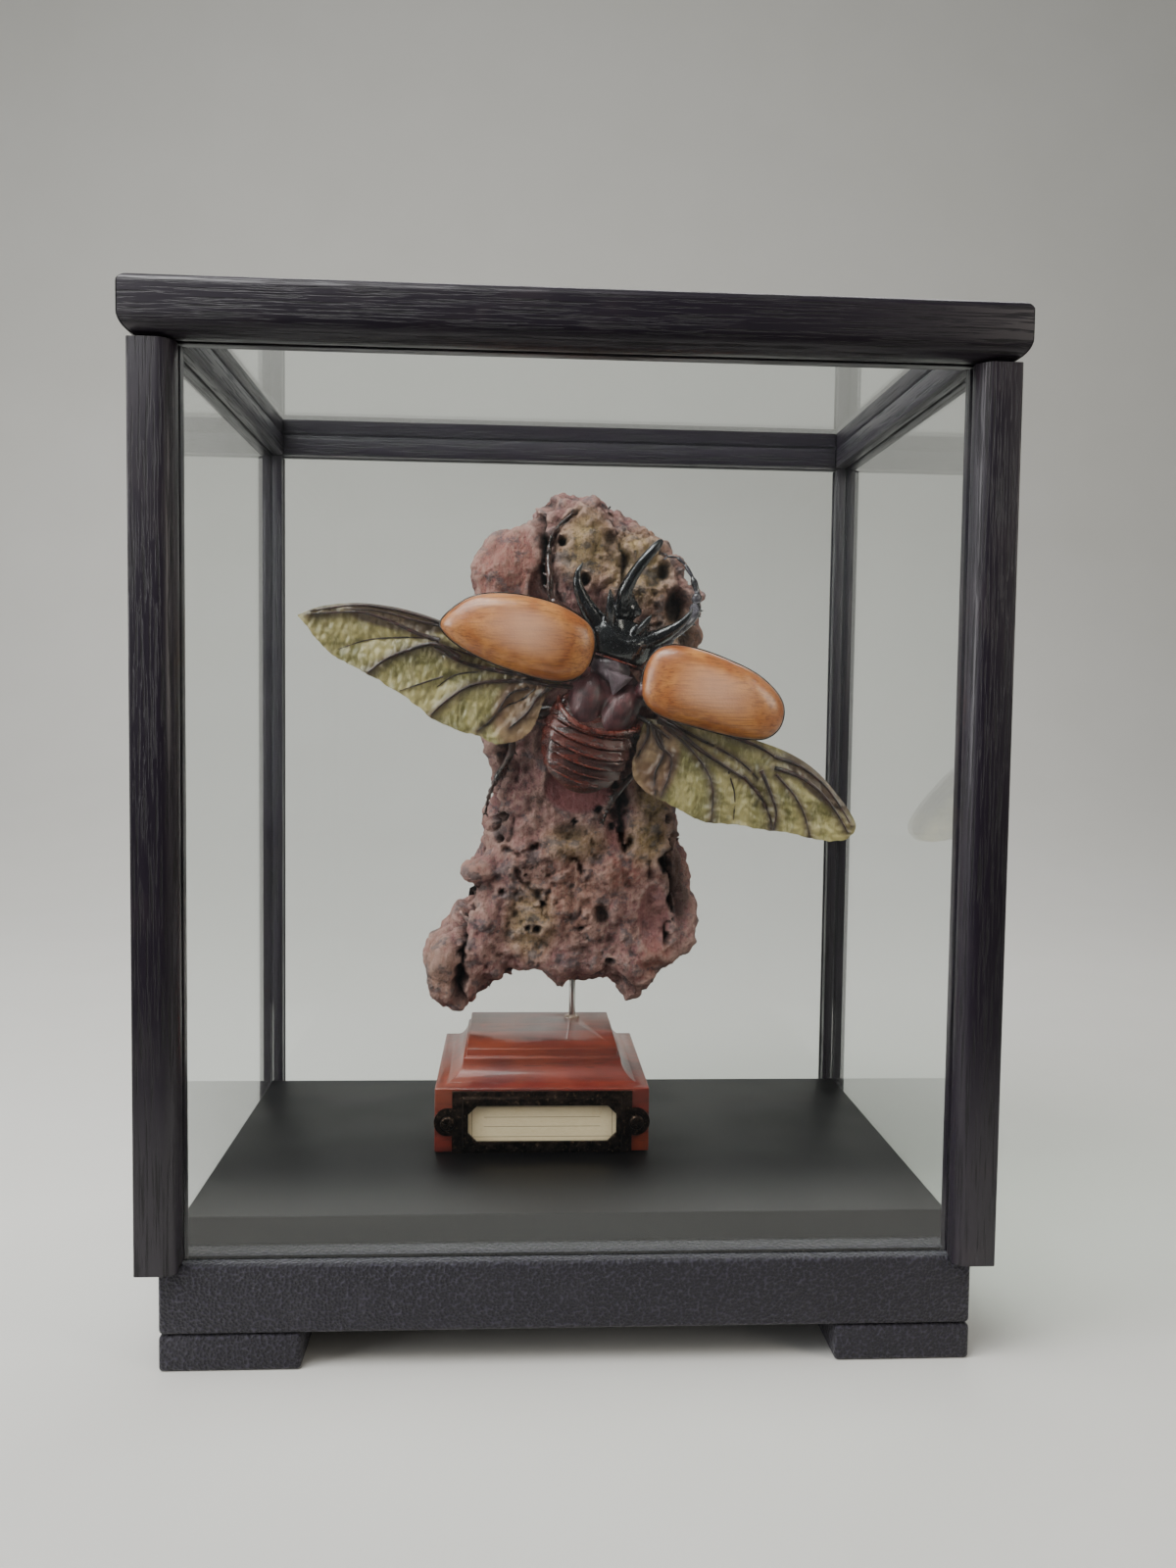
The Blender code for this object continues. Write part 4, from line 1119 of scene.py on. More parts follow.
# %% [markdown]
# The slab
#
# The outline is filled, pushed back and remeshed twice: coarsely, so that smoothing can round it,
# and then finely enough for the carving. Drawing it in toward its silhouette leaves no flat side.

# %% The slab
def wood_slab():
    """The outline pushed back to the thickness of the piece, worn round."""
    low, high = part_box("driftwood")
    slab = start(bpy.ops.mesh.primitive_circle_add, "slab", vertices=len(WOOD_EDGE), fill_type="NGON")
    front, back = low.y + BULGE_ROOM, high.y - BULGE_ROOM
    for vertex, (x, z) in zip(slab.data.vertices, WOOD_EDGE):
        vertex.co = (x * MM, front, z * MM)
    edit(slab)
    bpy.ops.mesh.select_all(action="SELECT")
    bpy.ops.mesh.extrude_region_move(TRANSFORM_OT_translate={"value": (0, back - front, 0)})
    heal(slab)
    apply_now(slab, "REMESH", mode="VOXEL", voxel_size=SLAB_VOXEL)
    apply_now(slab, "SMOOTH", factor=0.5, iterations=6)
    apply_now(slab, "REMESH", mode="VOXEL", voxel_size=WOOD_VOXEL)
    apply_now(slab, "SMOOTH", factor=0.5, iterations=3)
    return slab


def wear_round(slab):
    """Thins the slab toward its silhouette, so that no side of it stays flat."""
    places, _ = read_mesh(slab)
    outline = (*WOOD_EDGE, WOOD_EDGE[0])
    inward = np.clip(line_distance(places[:, [0, 2]], outline) / WOOD_ROUND, 0, 1)
    middle = (places[:, 1].min() + places[:, 1].max()) / 2
    share = 0.3 + 0.7 * np.sqrt(1 - (1 - inward) ** 2)
    places[:, 1] = middle + (places[:, 1] - middle) * share
    write_mesh(slab, places)
    apply_now(slab, "SMOOTH", factor=0.5, iterations=2)


driftwood = wood_slab()
wear_round(driftwood)
print("the slab has", len(driftwood.data.vertices), "points")

# %% [markdown]
# Carving
#
# Each point moves along its normal by a sum of small terms, one for each feature in the lists and
# one for each noise. So the order of the strokes doesn't matter, and every feature can be changed
# alone. The same strokes leave the masks that the material mixes its colours by.

# %% Carving
def carve_wood(slab):
    places, normals = read_mesh(slab)
    flat = places[:, [0, 2]]
    front = np.clip(-1.6 * normals[:, 1], 0, 1)
    back = np.clip(1.6 * normals[:, 1], 0, 1)
    move = np.zeros(len(places))
    # The first mask darkens cracks, scoops, worm holes, pits and hollows of the skin: painted shade.
    cavity_shade, rubbed = np.zeros(len(places)), np.zeros(len(places))
    rosy, ochre = np.full(len(places), 0.25), np.zeros(len(places))
    for x, z, half_width, half_height, rise, pink, yellow in BULGES:
        share = dome(flat, x, z, half_width, half_height)
        move += rise * np.sqrt(share) * (front + 0.7 * back)
        rosy, ochre = np.maximum(rosy, pink * share * 1.6), np.maximum(ochre, yellow * share * 1.4)
    for x, z, half_width, half_height, depth, shine, dark in SCOOPS:
        share = dome(flat, x, z, half_width, half_height) * front
        move -= depth * np.sqrt(share)
        rubbed = np.maximum(rubbed, shine * np.clip(share * 5, 0, 1))
        cavity_shade = np.maximum(cavity_shade, dark * np.clip(share * 1.8, 0, 1))
    wander = np.stack([noise_at(places + 70, 5, 2), noise_at(places - 40, 5, 2)], axis=1)
    width_noise = noise_at(places + 13, 4.5, 2)
    for half_width, depth, line in CRACKS:
        width = half_width * np.clip(0.95 + 1.1 * width_noise, 0.25, 1.8)
        share = np.clip(1 - line_distance(flat + 1.8 * wander, line) / width, 0, 1) * front
        move -= depth * np.clip(width / half_width, 0.3, 1.2) * np.sqrt(share)
        cavity_shade = np.maximum(cavity_shade, np.clip(share * 1.4, 0, 1) * min(1, depth / 4))
    draw = np.random.default_rng(7)
    small = [(draw.uniform(-17, 30), draw.uniform(62, 106), draw.uniform(0.35, 0.85))
             for _ in range(SMALL_HOLES)]
    for x, z, radius in (*WORM_HOLES, *small):
        share = np.clip(1 - np.hypot(flat[:, 0] - x, flat[:, 1] - z) / (1.5 * radius), 0, 1) * front
        move -= 4 * radius * np.clip(share * 2.2, 0, 1)
        cavity_shade = np.maximum(cavity_shade, np.clip(share * 3, 0, 1))
    calm = np.clip(rubbed + 0.5 * dome(flat, -14, 163, 13, 18) + 0.3 * dome(flat, 3, 168, 9, 14), 0, 1)
    rough = 1 - 0.85 * calm
    rough += 0.7 * dome(flat, 22, 160, 16, 26)
    lumps = noise_at(places, 11, 2)
    clods = noise_at(places + 31, (6.5, 6.5, 8), 4)
    crumbs = np.abs(noise_at(places - 55, 2.6, 3))
    pits = pits_at(places, 2.6) * np.clip(1.5 * rough - 0.8 - 1.2 * noise_at(places, 12, 1), 0, 1)
    fibres = noise_at(places, (1.1, 1.1, 12), 2)
    move += 1.5 * lumps * (0.4 + 0.6 * rough) + 1.5 * clods * rough - 0.75 * pits + 0.25 * fibres
    broken = np.clip(0.5 + 1.6 * noise_at(places + 91, 16, 2), 0, 1)
    move += 1.3 * (chunks_at(places + 3.2 * wander[:, [0, 1, 0]], 10.5) - 1) * rough * broken
    move -= 0.85 * crumbs * rough
    cavity_shade = np.maximum(cavity_shade, np.clip(pits * 1.3 - 0.2, 0, 0.6))
    cavity_shade = np.maximum(cavity_shade, np.clip(-1.1 * clods * rough - 0.4, 0, 0.5))
    write_mesh(slab, places + move[:, None] * normals)
    # Painted shade also in every hollow of the smoothed skin.
    cavity_shade = np.maximum(cavity_shade, np.clip(1.1 * hollowness(slab, 14) - 0.12, 0, 0.7) * (1 - rubbed))
    worn = np.clip(-3.5 * hollowness(slab, 3) - 0.1, 0, 1) * (1 - rubbed)
    for name, values in (("cavity_shade", cavity_shade), ("worn", worn), ("rubbed", rubbed), ("rosy", rosy),
                         ("ochre", ochre)):
        write_attribute(slab, name, values)


carve_wood(driftwood)
apply_now(driftwood, "SMOOTH", factor=0.15, iterations=1)
finish(driftwood, "worn_driftwood", DRIFTWOOD, ["driftwood"], smooth=75)

# %% [markdown]
# The beetle's own frame
#
# The beetle hangs head up on the wood and leans to its right. It would be awkward to model at
# that angle, so every part of it is drawn lying flat: x to its right, y to its head, z out of
# its back, in millimetres. One matrix then stands it up in the case. The place is given over the
# floor board, so that it follows the frame.

# %% Standing the beetle up
BEETLE_LEAN = math.radians(17)
BEETLE_RISE = 111.8 * MM  # over the floor board
floor_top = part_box("floor_board")[1].z
BEETLE_AT = Vector((12.8 * MM, 9.5 * MM, floor_top + BEETLE_RISE))  # its belly touches the wood


def beetle_matrix():
    c, s = math.cos(BEETLE_LEAN), math.sin(BEETLE_LEAN)
    turn = Matrix(((c, s, 0), (0, 0, -1), (-s, c, 0))).to_4x4()
    return Matrix.Translation(BEETLE_AT) @ turn @ Matrix.Scale(MM, 4)


BEETLE = beetle_matrix()


def stand(item):
    """Puts a piece drawn in the beetle's frame, in millimetres, into the case."""
    only(item)
    item.matrix_world = BEETLE @ item.matrix_world
    bpy.ops.object.transform_apply(location=True, rotation=True, scale=True)
    return item


print("beetle at", [round(v, 4) for v in BEETLE_AT])

# %% [markdown]
# Shapes for a living thing
#
# Horns, legs and veins are all bars that taper along a curve. Each is given by a few stations of
# place and radius, a smooth line is run through them, and a curve object with a round bevel
# makes the bar. Where bars and balls grow out of each other they are joined and remeshed, which
# melts the seams as clay would, and then smoothed.

# %% Bars, balls and melting them together
def smooth_line(points, steps=6, closed=False):
    """A smooth curve through the points, whatever they hold besides their place."""
    points = np.array(points, float)
    if closed:
        ring = np.vstack([points[-1:], points, points[:2]])
    else:
        ring = np.vstack([2 * points[0] - points[1], points, 2 * points[-1] - points[-2]])
    made = []
    for a, b, c, d in zip(ring, ring[1:], ring[2:], ring[3:]):
        for t in np.arange(steps) / steps:
            made.append(0.5 * (2 * b + (c - a) * t + (2 * a - 5 * b + 4 * c - d) * t**2
                               + (3 * b - a - 3 * c + d) * t**3))
    if not closed:
        made.append(points[-1])
    return np.array(made)


def bar(name, stations, roundness=4, steps=6, closed=False):
    """A round bar through x, y, z, radius stations, as a closed mesh."""
    item = start(bpy.ops.curve.primitive_nurbs_path_add, name)
    curve = item.data
    curve.splines.clear()
    line = smooth_line(stations, steps, closed)
    spline = curve.splines.new("POLY")
    spline.points.add(len(line) - 1)
    for point, (x, y, z, radius) in zip(spline.points, line):
        point.co = (x, y, z, 1)
        point.radius = max(radius, 0.02)
    spline.use_cyclic_u = closed
    curve.bevel_depth = 1
    curve.bevel_resolution = roundness
    curve.use_fill_caps = not closed
    only(item)
    bpy.ops.object.convert(target="MESH")
    item = bpy.context.object
    heal(item, 1e-4)
    return item


def ball(name, centre, radii, turn=0.0, segments=48, rings=24):
    """An ellipsoid, turned about z."""
    return start(bpy.ops.mesh.primitive_uv_sphere_add, name, radii, segments=segments,
                 ring_count=rings, radius=1, location=centre, rotation=(0, 0, turn))


def melt(name, shells, voxel, rounds):
    """Joins overlapping shells into one skin and smooths it."""
    item = join(name, shells) if len(shells) > 1 else shells[0]
    apply_now(item, "REMESH", mode="VOXEL", voxel_size=voxel)
    apply_now(item, "SMOOTH", factor=0.5, iterations=rounds)
    return item


print("a smooth line through 3 points has", len(smooth_line([(0, 0), (1, 1), (2, 0)])))

# %% [markdown]
# Cuticle
#
# An insect's shell is chitin, layered like plywood under a thin wax. The black parts are deep and
# glossy with sparse punctures, each a tiny dent. The hind body is the same stuff without the
# black: dark red-brown, and finely lined along the body. All of it has the IOR of chitin, about
# 1.56, and its gloss is broken by cloudy patches and by the punctures. One function makes them
# all, because only the colours, the gloss and the size of the marks differ.

# %% Black and brown cuticle
CHITIN_IOR = 1.56


def cuticle(name, dark, light, shine, line_mm=0.0, puncture_mm=0.8, coat=0.5, flow=1.0, swell_mm=0.12):
    made, tree, shader, coordinates = new_material(
        name, IOR=CHITIN_IOR, Coat_Weight=coat, Coat_Roughness=0.09)
    drawn_out = add(tree, "stretch", coordinates, (flow, 1, 1), Rotation=(0, BEETLE_LEAN, 0))
    clouds = add(tree, "noise", drawn_out, 3.2, Detail=5, Roughness=0.6, Distortion=0.5)
    dents = add(tree, "mask", add(tree, "cells", coordinates, puncture_mm), 0.32, 0.1)
    link(tree, shader, Base_Color=add(tree, "mix", add(tree, "mask", clouds, 0.32, 0.72), dark, light))
    gloss = add(tree, "spread", clouds, shine, shine + 0.16)
    link(tree, shader, Roughness=add(tree, "ADD", gloss, add(tree, "MULTIPLY", dents, 0.12)))
    layers = [(dents, -0.05), (clouds, swell_mm)]
    if line_mm:
        lengthwise = add(tree, "stretch", coordinates, (1, 1, 0.08), Rotation=(0, -BEETLE_LEAN, 0))
        lines = add(tree, "noise", lengthwise, line_mm, Detail=3, Distortion=0.3)
        layers.append((lines, 0.16))
    relief(tree, shader, *layers)
    return made


BLACK = cuticle("black_chitin", "050506", "101116", 0.13, coat=0.7)
BLACK_LEG = cuticle("brown_black_chitin", "100706", "3E1E16", 0.2, puncture_mm=0.5)
BROWN = cuticle("red_brown_chitin", "280C0A", "5A2218", 0.12, line_mm=0.35, puncture_mm=0.4, coat=0.7,
                flow=0.25, swell_mm=0.04)
MUSCLE = cuticle("purple_brown_satin_chitin", "2C0F14", "5A2A2E", 0.25, line_mm=0.3, puncture_mm=0.3,
                 coat=0.2)
RUSSET = cuticle("russet_chitin", "3E120D", "6A2A1E", 0.18)
MAUVE = cuticle("grey_mauve_chitin", "3E2E33", "75626A", 0.34, coat=0.2)
print("cuticles:", *[made.name for made in (BLACK, BLACK_LEG, BROWN, MUSCLE, RUSSET, MAUVE)])

# %% [markdown]
# Pronotum and head
#
# The shield behind the head is nearly a box with a hollow scooped out of its front, and four of
# the beetle's five horns grow from its corners: two long crescents at the sides and two spikes in
# the middle. The fifth and longest rises from the head. The shield is a ball sawn off behind and
# before and scooped with a second ball. The horns are bars, and a remesh lets them grow out of
# the shield with a soft root.

# %% Pronotum and head
def build_pronotum():
    shield = ball("shield", (-3.0, 8.2, 0.2), (9.0, 8.0, 6.7))
    saw_end(shield, (0, 3.2, 0), (0, -1, 0.12))
    saw_end(shield, (0, 14.2, 0), (0, 1, 0.25))
    scoop = ball("scoop", (-0.6, 13.2, 7.6), (6.0, 5.2, 4.2), turn=-0.25)
    cut(shield, scoop)
    horns = (
        ((-5, 8.5, 1, 2.9), (-9.6, 11.2, 3, 2.5), (-13.4, 14.2, 4.2, 1.9), (-16.2, 17.4, 5, 1.3),
         (-17.2, 20.4, 5.4, 0.8), (-16.6, 23.4, 5.2, 0.16)),
        ((0, 8.5, 1, 2.8), (4.2, 10.4, 3, 2.3), (7.6, 13.2, 4.4, 1.7), (10.2, 16.4, 5.4, 1.1),
         (11.4, 19, 5.8, 0.65), (11.8, 21.2, 5.6, 0.14)),
        ((-5.4, 10, 3, 1.7), (-6.8, 13.4, 6, 1.3), (-8.0, 16.6, 7.6, 0.8), (-8.9, 19.2, 8.2, 0.14)),
        ((0.6, 10, 3, 1.5), (1.6, 13, 5.6, 1.1), (2.4, 15, 6.8, 0.6), (2.7, 16.2, 7.2, 0.14)),
    )  # fmt: skip
    shells = [shield] + [bar("horn", stations) for stations in horns]
    return stand(melt("pronotum", shells, 0.3, 3))


def build_head():
    skull = ball("skull", (-3.8, 16.2, 0.6), (3.9, 3.6, 3.2))
    brow = ball("brow", (-4.2, 18.4, 2.4), (2.3, 2.4, 1.9))
    eyes = [ball("eye", (x, 16.4, 0.2), (1.1, 1.3, 1.3), segments=24, rings=12) for x in (-7.3, -0.3)]
    horn = bar("long_horn", ((-4.0, 16.4, 1.2, 2.5), (-4.9, 19.4, 4.0, 2.0), (-4.6, 22.6, 5.4, 1.6),
                             (-3.6, 26.2, 6.2, 1.4), (-2.2, 29.8, 6.4, 1.25), (-1.0, 32.4, 6.0, 1.05),
                             (-0.3, 34.0, 5.6, 0.6)))  # fmt: skip
    return stand(melt("head", [skull, brow, horn, *eyes], 0.26, 3))


finish(build_pronotum(), "horned_pronotum", BLACK, ["pronotum"], smooth=60)
finish(build_head(), "horned_head", BLACK, ["head"], smooth=60)

rim_line = [(-3.0 + 8.6 * math.cos(turn), 3.2, 0.3 + 6.0 * math.sin(turn), 0.26)
            for turn in np.arange(0, math.tau, math.tau / 20)]  # fmt: skip
hind_rim = stand(bar("hind_rim", rim_line, closed=True))
finish(hind_rim, "pronotum_hind_rim", RUSSET)

# %% [markdown]
# Neck, thorax and rim
#
# Behind the shield the raised wing cases bare what they usually hide: a narrow grey-mauve neck
# with a small V-shaped plate, two swollen flight-muscle lobes with fine lines, and a bright
# russet rim. A lathe or a box would leave hard seams, so the neck and the lobes are overlapping
# balls melted together, with smaller ones where the wings hinge and the wing cases are rooted.
# The rim is one bar bent over the back, and the plate is a triangle pushed up in three steps.

# %% Neck, lobes and rim
neck = melt("neck", [ball("collar", (-2.4, 1.2, 0.6), (5.0, 3.6, 5.2)),
                     ball("fold", (-1.4, -0.6, 2.6), (4.0, 2.0, 3.5), turn=-0.15)], 0.26, 3)
finish(stand(neck), "neck_plate", MAUVE)

lobes = melt("lobes", [ball("core", (-1.6, -6.0, -0.8), (9.4, 9.0, 5.2)),
                       ball("left_lobe", (-5.3, -8.8, 1.1), (4.9, 8.2, 5.6), turn=0.12),
                       ball("right_lobe", (2.4, -8.8, 1.2), (4.7, 8.0, 5.6), turn=-0.25),
                       ball("left_hinge", (-9.6, -2.2, 1.0), (2.6, 3.0, 2.4)),
                       ball("right_hinge", (6.8, -2.8, 1.0), (2.6, 3.0, 2.4)),
                       ball("left_shoulder", (-9.2, -1.2, 4.4), (2.2, 2.4, 2.4)),
                       ball("right_shoulder", (6.8, -1.4, 4.4), (2.2, 2.4, 2.4))], 0.26, 4)
finish(stand(lobes), "flight_muscle_lobes", MUSCLE, ["thorax"], smooth=60)

rim = melt("rim", [bar("rim", ((-12.4, -9.2, 0.6, 0.6), (-10.9, -11.8, 4.0, 0.75), (-6.6, -14.3, 6.4, 0.7),
                               (-1.8, -14.7, 6.9, 0.65), (3.2, -13.7, 6.2, 0.7), (7.4, -11.6, 3.6, 0.8),
                               (8.8, -9.6, 1.0, 0.6)))], 0.2, 2)  # fmt: skip
finish(stand(rim), "russet_rim", RUSSET)


SCUTELLUM_AT = (-0.2, -1.4, 5.2)


def build_scutellum():
    """A small domed triangle, its point to the tail."""
    plate = start(bpy.ops.mesh.primitive_circle_add, "plate", (1, 0.92, 1), vertices=3, radius=4.2,
                  fill_type="NGON", location=SCUTELLUM_AT, rotation=(0, 0, math.pi))
    edit(plate)
    bpy.ops.mesh.select_all(action="SELECT")
    for rise, shrink in ((0.5, 1.0), (0.45, 0.82), (0.25, 0.6)):
        push(rise, shrink, SCUTELLUM_AT)
    heal(plate)
    apply_now(plate, "BEVEL", width=0.35, segments=2, limit_method="ANGLE", angle_limit=math.radians(30))
    apply_now(plate, "SUBSURF", levels=2, render_levels=2)
    return stand(plate)


finish(build_scutellum(), "scutellum_plate", MAUVE, ["scutellum"], smooth=60)

# %% [markdown]
# The rings of the abdomen
#
# The rings overlap like roof tiles, and the hind edge of each is thickened and catches the light.
# A row of separate rings would show gaps, so one ellipsoid carries the steps, and the bright
# edges are thin bars laid along them. Both follow the same ellipsoid, so one function says how
# far out any place is on it.

# %% Abdomen
BODY_AT = np.array((-2.6, -17.2, -0.4))
BODY_RADII = np.array((10.9, 13.4, 6.3))
BODY_TURN = 0.2
RINGS = (-15.6, -18.3, -20.9, -23.3, -25.5, -27.5)  # along the beetle, in millimetres
RING_ARCH = 0.018  # how much each ring curves to the tail at its middle
RING_STEP = 0.7
LIP = 0.32


def body_axes(x, y):
    """The place across and along the turned ellipsoid, for a place in the beetle's frame."""
    c, s = math.cos(BODY_TURN), math.sin(BODY_TURN)
    dx, dy = x - BODY_AT[0], y - BODY_AT[1]
    return c * dx + s * dy, c * dy - s * dx


def build_abdomen():
    body = ball("body", BODY_AT, BODY_RADII, turn=BODY_TURN, segments=180, rings=220)
    places, normals = read_mesh(body)
    places *= MM
    across, _ = body_axes(places[:, 0], places[:, 1])
    arched = places[:, 1] - RING_ARCH * across**2
    move = np.zeros(len(places))
    for ring in RINGS:
        past = arched - ring
        move += RING_STEP * np.exp(-np.clip(past, 0, None) / 1.1) * (past > 0)
        move -= 0.45 * np.exp(-((past + 0.2) / 0.26) ** 2)
    move += 0.35 * np.exp(-((np.abs(across) - 8.4) / 1.2) ** 2)
    folds = noise_at(places, (2.2, 0.7, 2.2), 3)
    write_mesh(body, (places + (move + 0.05 * folds)[:, None] * normals) / MM)
    return stand(body)


def build_ring_lips():
    """The bright hind edge of every ring, standing off the ellipsoid by the step it edges."""
    lips = []
    for ring in RINGS:
        x = BODY_AT[0] + np.linspace(-1, 1, 81) * BODY_RADII[0] * 1.1
        across, _ = body_axes(x, np.full(len(x), ring))
        y = ring + RING_ARCH * across**2 + 0.12
        across, along = body_axes(x, y)
        reach = (across / BODY_RADII[0]) ** 2 + (along / BODY_RADII[1]) ** 2
        seen = reach < 0.86
        x, y, across, along, reach = (v[seen][::4] for v in (x, y, across, along, reach))
        z = BODY_RADII[2] * np.sqrt(1 - reach)
        c, s = math.cos(BODY_TURN), math.sin(BODY_TURN)
        out_across, out_along = across / BODY_RADII[0] ** 2, along / BODY_RADII[1] ** 2
        out = np.column_stack([c * out_across - s * out_along, s * out_across + c * out_along,
                               z / BODY_RADII[2] ** 2])
        out /= np.linalg.norm(out, axis=1)[:, None]
        line = np.column_stack([x, y, BODY_AT[2] + z]) + (RING_STEP - 0.14) * out
        taper = LIP * np.cos(np.linspace(-1.2, 1.2, len(line)))
        lips.append(bar("lip", np.column_stack([line, taper]), steps=3))
    return stand(join("lips", lips))


finish(build_ring_lips(), "abdomen_ring_lips", RUSSET, smooth=60)
finish(build_abdomen(), "ringed_abdomen", BROWN, ["abdomen"], smooth=60)
print("abdomen", 2 * BODY_RADII, "mm,", len(RINGS), "rings")

# %% [markdown]
# Wing cases
#
# The wing cases are amber, satin and slightly velvety, with a hair-thin black rim, and each is a
# shell like half a shallow almond. Each begins as a ring of points on its outline. The ring is
# pushed up and drawn in again and again, which leaves a dome of clean loops; Solidify then gives
# the wall its thickness, and a thin bar along the outline is the rim. The colour is warmer at
# the rim, a pale band along the ridge is a painted highlight, and fine lines run from end to end.

# %% Wing cases
LEFT_CASE = ((-44.9, -1.2), (-42.9, 3.2), (-39.4, 7.1), (-34.0, 9.7), (-27.2, 11.2), (-20, 11.6),
             (-14.2, 10.7), (-10.2, 8.9), (-8.2, 5.6), (-7.7, 1.2), (-8.8, -2.6), (-12.2, -5.4), (-17, -6.5),
             (-23.4, -6.8), (-30.6, -6.6), (-37.4, -5.5), (-42.4, -3.8))  # fmt: skip
RIGHT_CASE = ((5.5, 0.4), (5.2, 4.6), (6.6, 8.6), (10.2, 11), (16.8, 11.9), (24.2, 11.6), (31.2, 10.6),
              (36.6, 8.4), (39.8, 5.8), (41.1, 2.6), (40.7, -1), (38.3, -3.8), (34, -5.2), (28.2, -5.9),
              (20.9, -6.3), (14.2, -6.5), (9.3, -5.5), (6.5, -3))  # fmt: skip
CASE_LIFT = 5.7
CASE_RISE = 5.2
CASE_WALL = 0.5
DOME_STEPS = 14


def amber_cuticle(side):
    made, tree, shader, coordinates = new_material(
        "amber_chitin_" + side, IOR=CHITIN_IOR, Coat_Weight=0.5,
        Coat_Roughness=0.24, Sheen_Weight=0.12, Sheen_Roughness=0.4)
    lengthwise = add(tree, "stretch", coordinates, (0.05, 1, 1), Rotation=(0, BEETLE_LEAN, 0))
    lines = add(tree, "noise", lengthwise, 0.45, Detail=3, Roughness=0.6)
    clouds = add(tree, "noise", coordinates, 7, Detail=4, Distortion=0.4)
    dots = add(tree, "cells", coordinates, 0.55)
    fleck = add(tree, "mask", add(tree, "noise", coordinates, 1.4, Detail=5, Roughness=0.75), 0.62, 0.78)
    shell = add(tree, "mix", add(tree, "mask", clouds, 0.32, 0.7), "9A531E", "C07C3C")
    shell = add(tree, "mix", add(tree, "MULTIPLY", add(tree, "mask", lines, 0.42, 0.7), 0.7), shell, "6E3610")
    # Painted highlight: a pale pink band along the top of the dome.
    shell = add(tree, "mix", add(tree, "MULTIPLY", add(tree, "Attribute", attribute_name="ridge_highlight"), 0.7),
                shell, "D8A48A")
    shell = add(tree, "mix", add(tree, "MULTIPLY", add(tree, "Attribute", attribute_name="edge"), 0.85),
                shell, "6E3212")
    link(tree, shader, Base_Color=add(tree, "mix", add(tree, "MULTIPLY", fleck, 0.35), shell, "5C2E14"))
    link(tree, shader, Roughness=add(tree, "spread", clouds, 0.34, 0.46))
    relief(tree, shader, (lines, 0.06), (dots, 0.02), (clouds, 0.15))
    return made


def build_wing_case(name, outline, amber):
    line = smooth_line(outline, 5, closed=True)
    centre = line.mean(axis=0) + [0, 1.2]
    shell = start(bpy.ops.mesh.primitive_circle_add, name, vertices=len(line), fill_type="NGON")
    for vertex, (x, y) in zip(shell.data.vertices, line):
        vertex.co = (x, y, CASE_LIFT)
    edit(shell)
    bpy.ops.mesh.select_all(action="SELECT")
    reach, height = 1.0, 0.0
    for i in range(1, DOME_STEPS + 1):
        turn = math.pi / 2 * i / (DOME_STEPS + 0.6)
        next_reach, next_height = math.cos(turn) ** 0.92, CASE_RISE * math.sin(turn) ** 0.9
        push(next_height - height, next_reach / reach, (*centre, 0))
        reach, height = next_reach, next_height
    bpy.ops.mesh.poke()
    heal(shell)
    edit(shell)
    pick(shell, lambda f: f.normal.z < -0.99)
    bpy.ops.mesh.delete(type="FACE")
    done()
    places, _ = read_mesh(shell)
    places *= MM
    rise = (places[:, 2] - CASE_LIFT) / CASE_RISE
    tapered = np.abs(places[:, 0] - centre[0]) / 20
    # The mask of the painted highlight along the crest of the dome.
    write_attribute(shell, "ridge_highlight", np.clip((rise - 0.8) * 5, 0, 1) * np.clip(1.1 - tapered, 0, 1))
    write_attribute(shell, "edge", np.clip(1 - rise * 3.2, 0, 1))
    apply_now(shell, "SOLIDIFY", thickness=CASE_WALL, offset=-1)
    apply_now(shell, "SUBSURF", levels=1, render_levels=1)
    shell.data.materials.append(amber)
    trim = bar("trim", [(x, y, CASE_LIFT + 0.12, 0.24) for x, y in outline], closed=True, steps=5)
    trim.data.materials.append(BLACK)
    return stand(join(name, [trim, shell]))


for side, outline in (("left", LEFT_CASE), ("right", RIGHT_CASE)):
    wing_case = build_wing_case("elytron_" + side, outline, amber_cuticle(side))
    finish(wing_case, "amber_wing_case_" + side, None, ["elytron_" + side], smooth=50)

# %% [markdown]
# Hind wings
#
# The flying wings are a film of chitin a few hundredths of a millimetre thick, olive and a little
# see-through, pleated so that they fold away under the cases. Veins stand in the pleats and brown
# the film beside them. A grid is laid between the front and hind edge of each wing, raised or
# sunk along every vein, and crinkled across by noise. The veins themselves are tapering bars on
# that same relief. They ride in pieces of their own, since they're darker and not see-through.

# %% Outlines and veins of the hind wings, root first
LEFT_FRONT = ((-12.5, -5.6), (-20, -3.8), (-30, -2.2), (-38, -1.2), (-46.2, -0.5), (-51.7, -0.5),
              (-58.1, -1.1), (-65.7, -2.8), (-73.1, -5.9), (-78.2, -9.8))  # fmt: skip
LEFT_HIND = ((-15.0, -8.0), (-15.7, -12.1), (-15.9, -16.7), (-17.4, -21), (-20.4, -23.6), (-24, -25.1),
             (-28, -24.3), (-32.9, -24.6), (-38.9, -24), (-47.6, -20.8), (-58.3, -18.2), (-68.8, -15.9),
             (-75, -11.9), (-78.1, -10.0))  # fmt: skip
RIGHT_FRONT = ((9.6, -7.8), (18, -6.4), (28, -5), (38.9, -4.7), (46.9, -5.3), (53.7, -7.2),
               (60.4, -11), (65.3, -14.6), (67.5, -16.9), (67.8, -18.9))  # fmt: skip
RIGHT_HIND = ((9.3, -10.5), (9.6, -15.6), (9.9, -20.4), (12, -23.4), (16.8, -25.4), (23.8, -26.6),
              (30.7, -27.8), (38.6, -26.1), (47.3, -24.9), (53, -23.8), (59.1, -23.6), (65, -22),
              (67.7, -19.4))  # fmt: skip
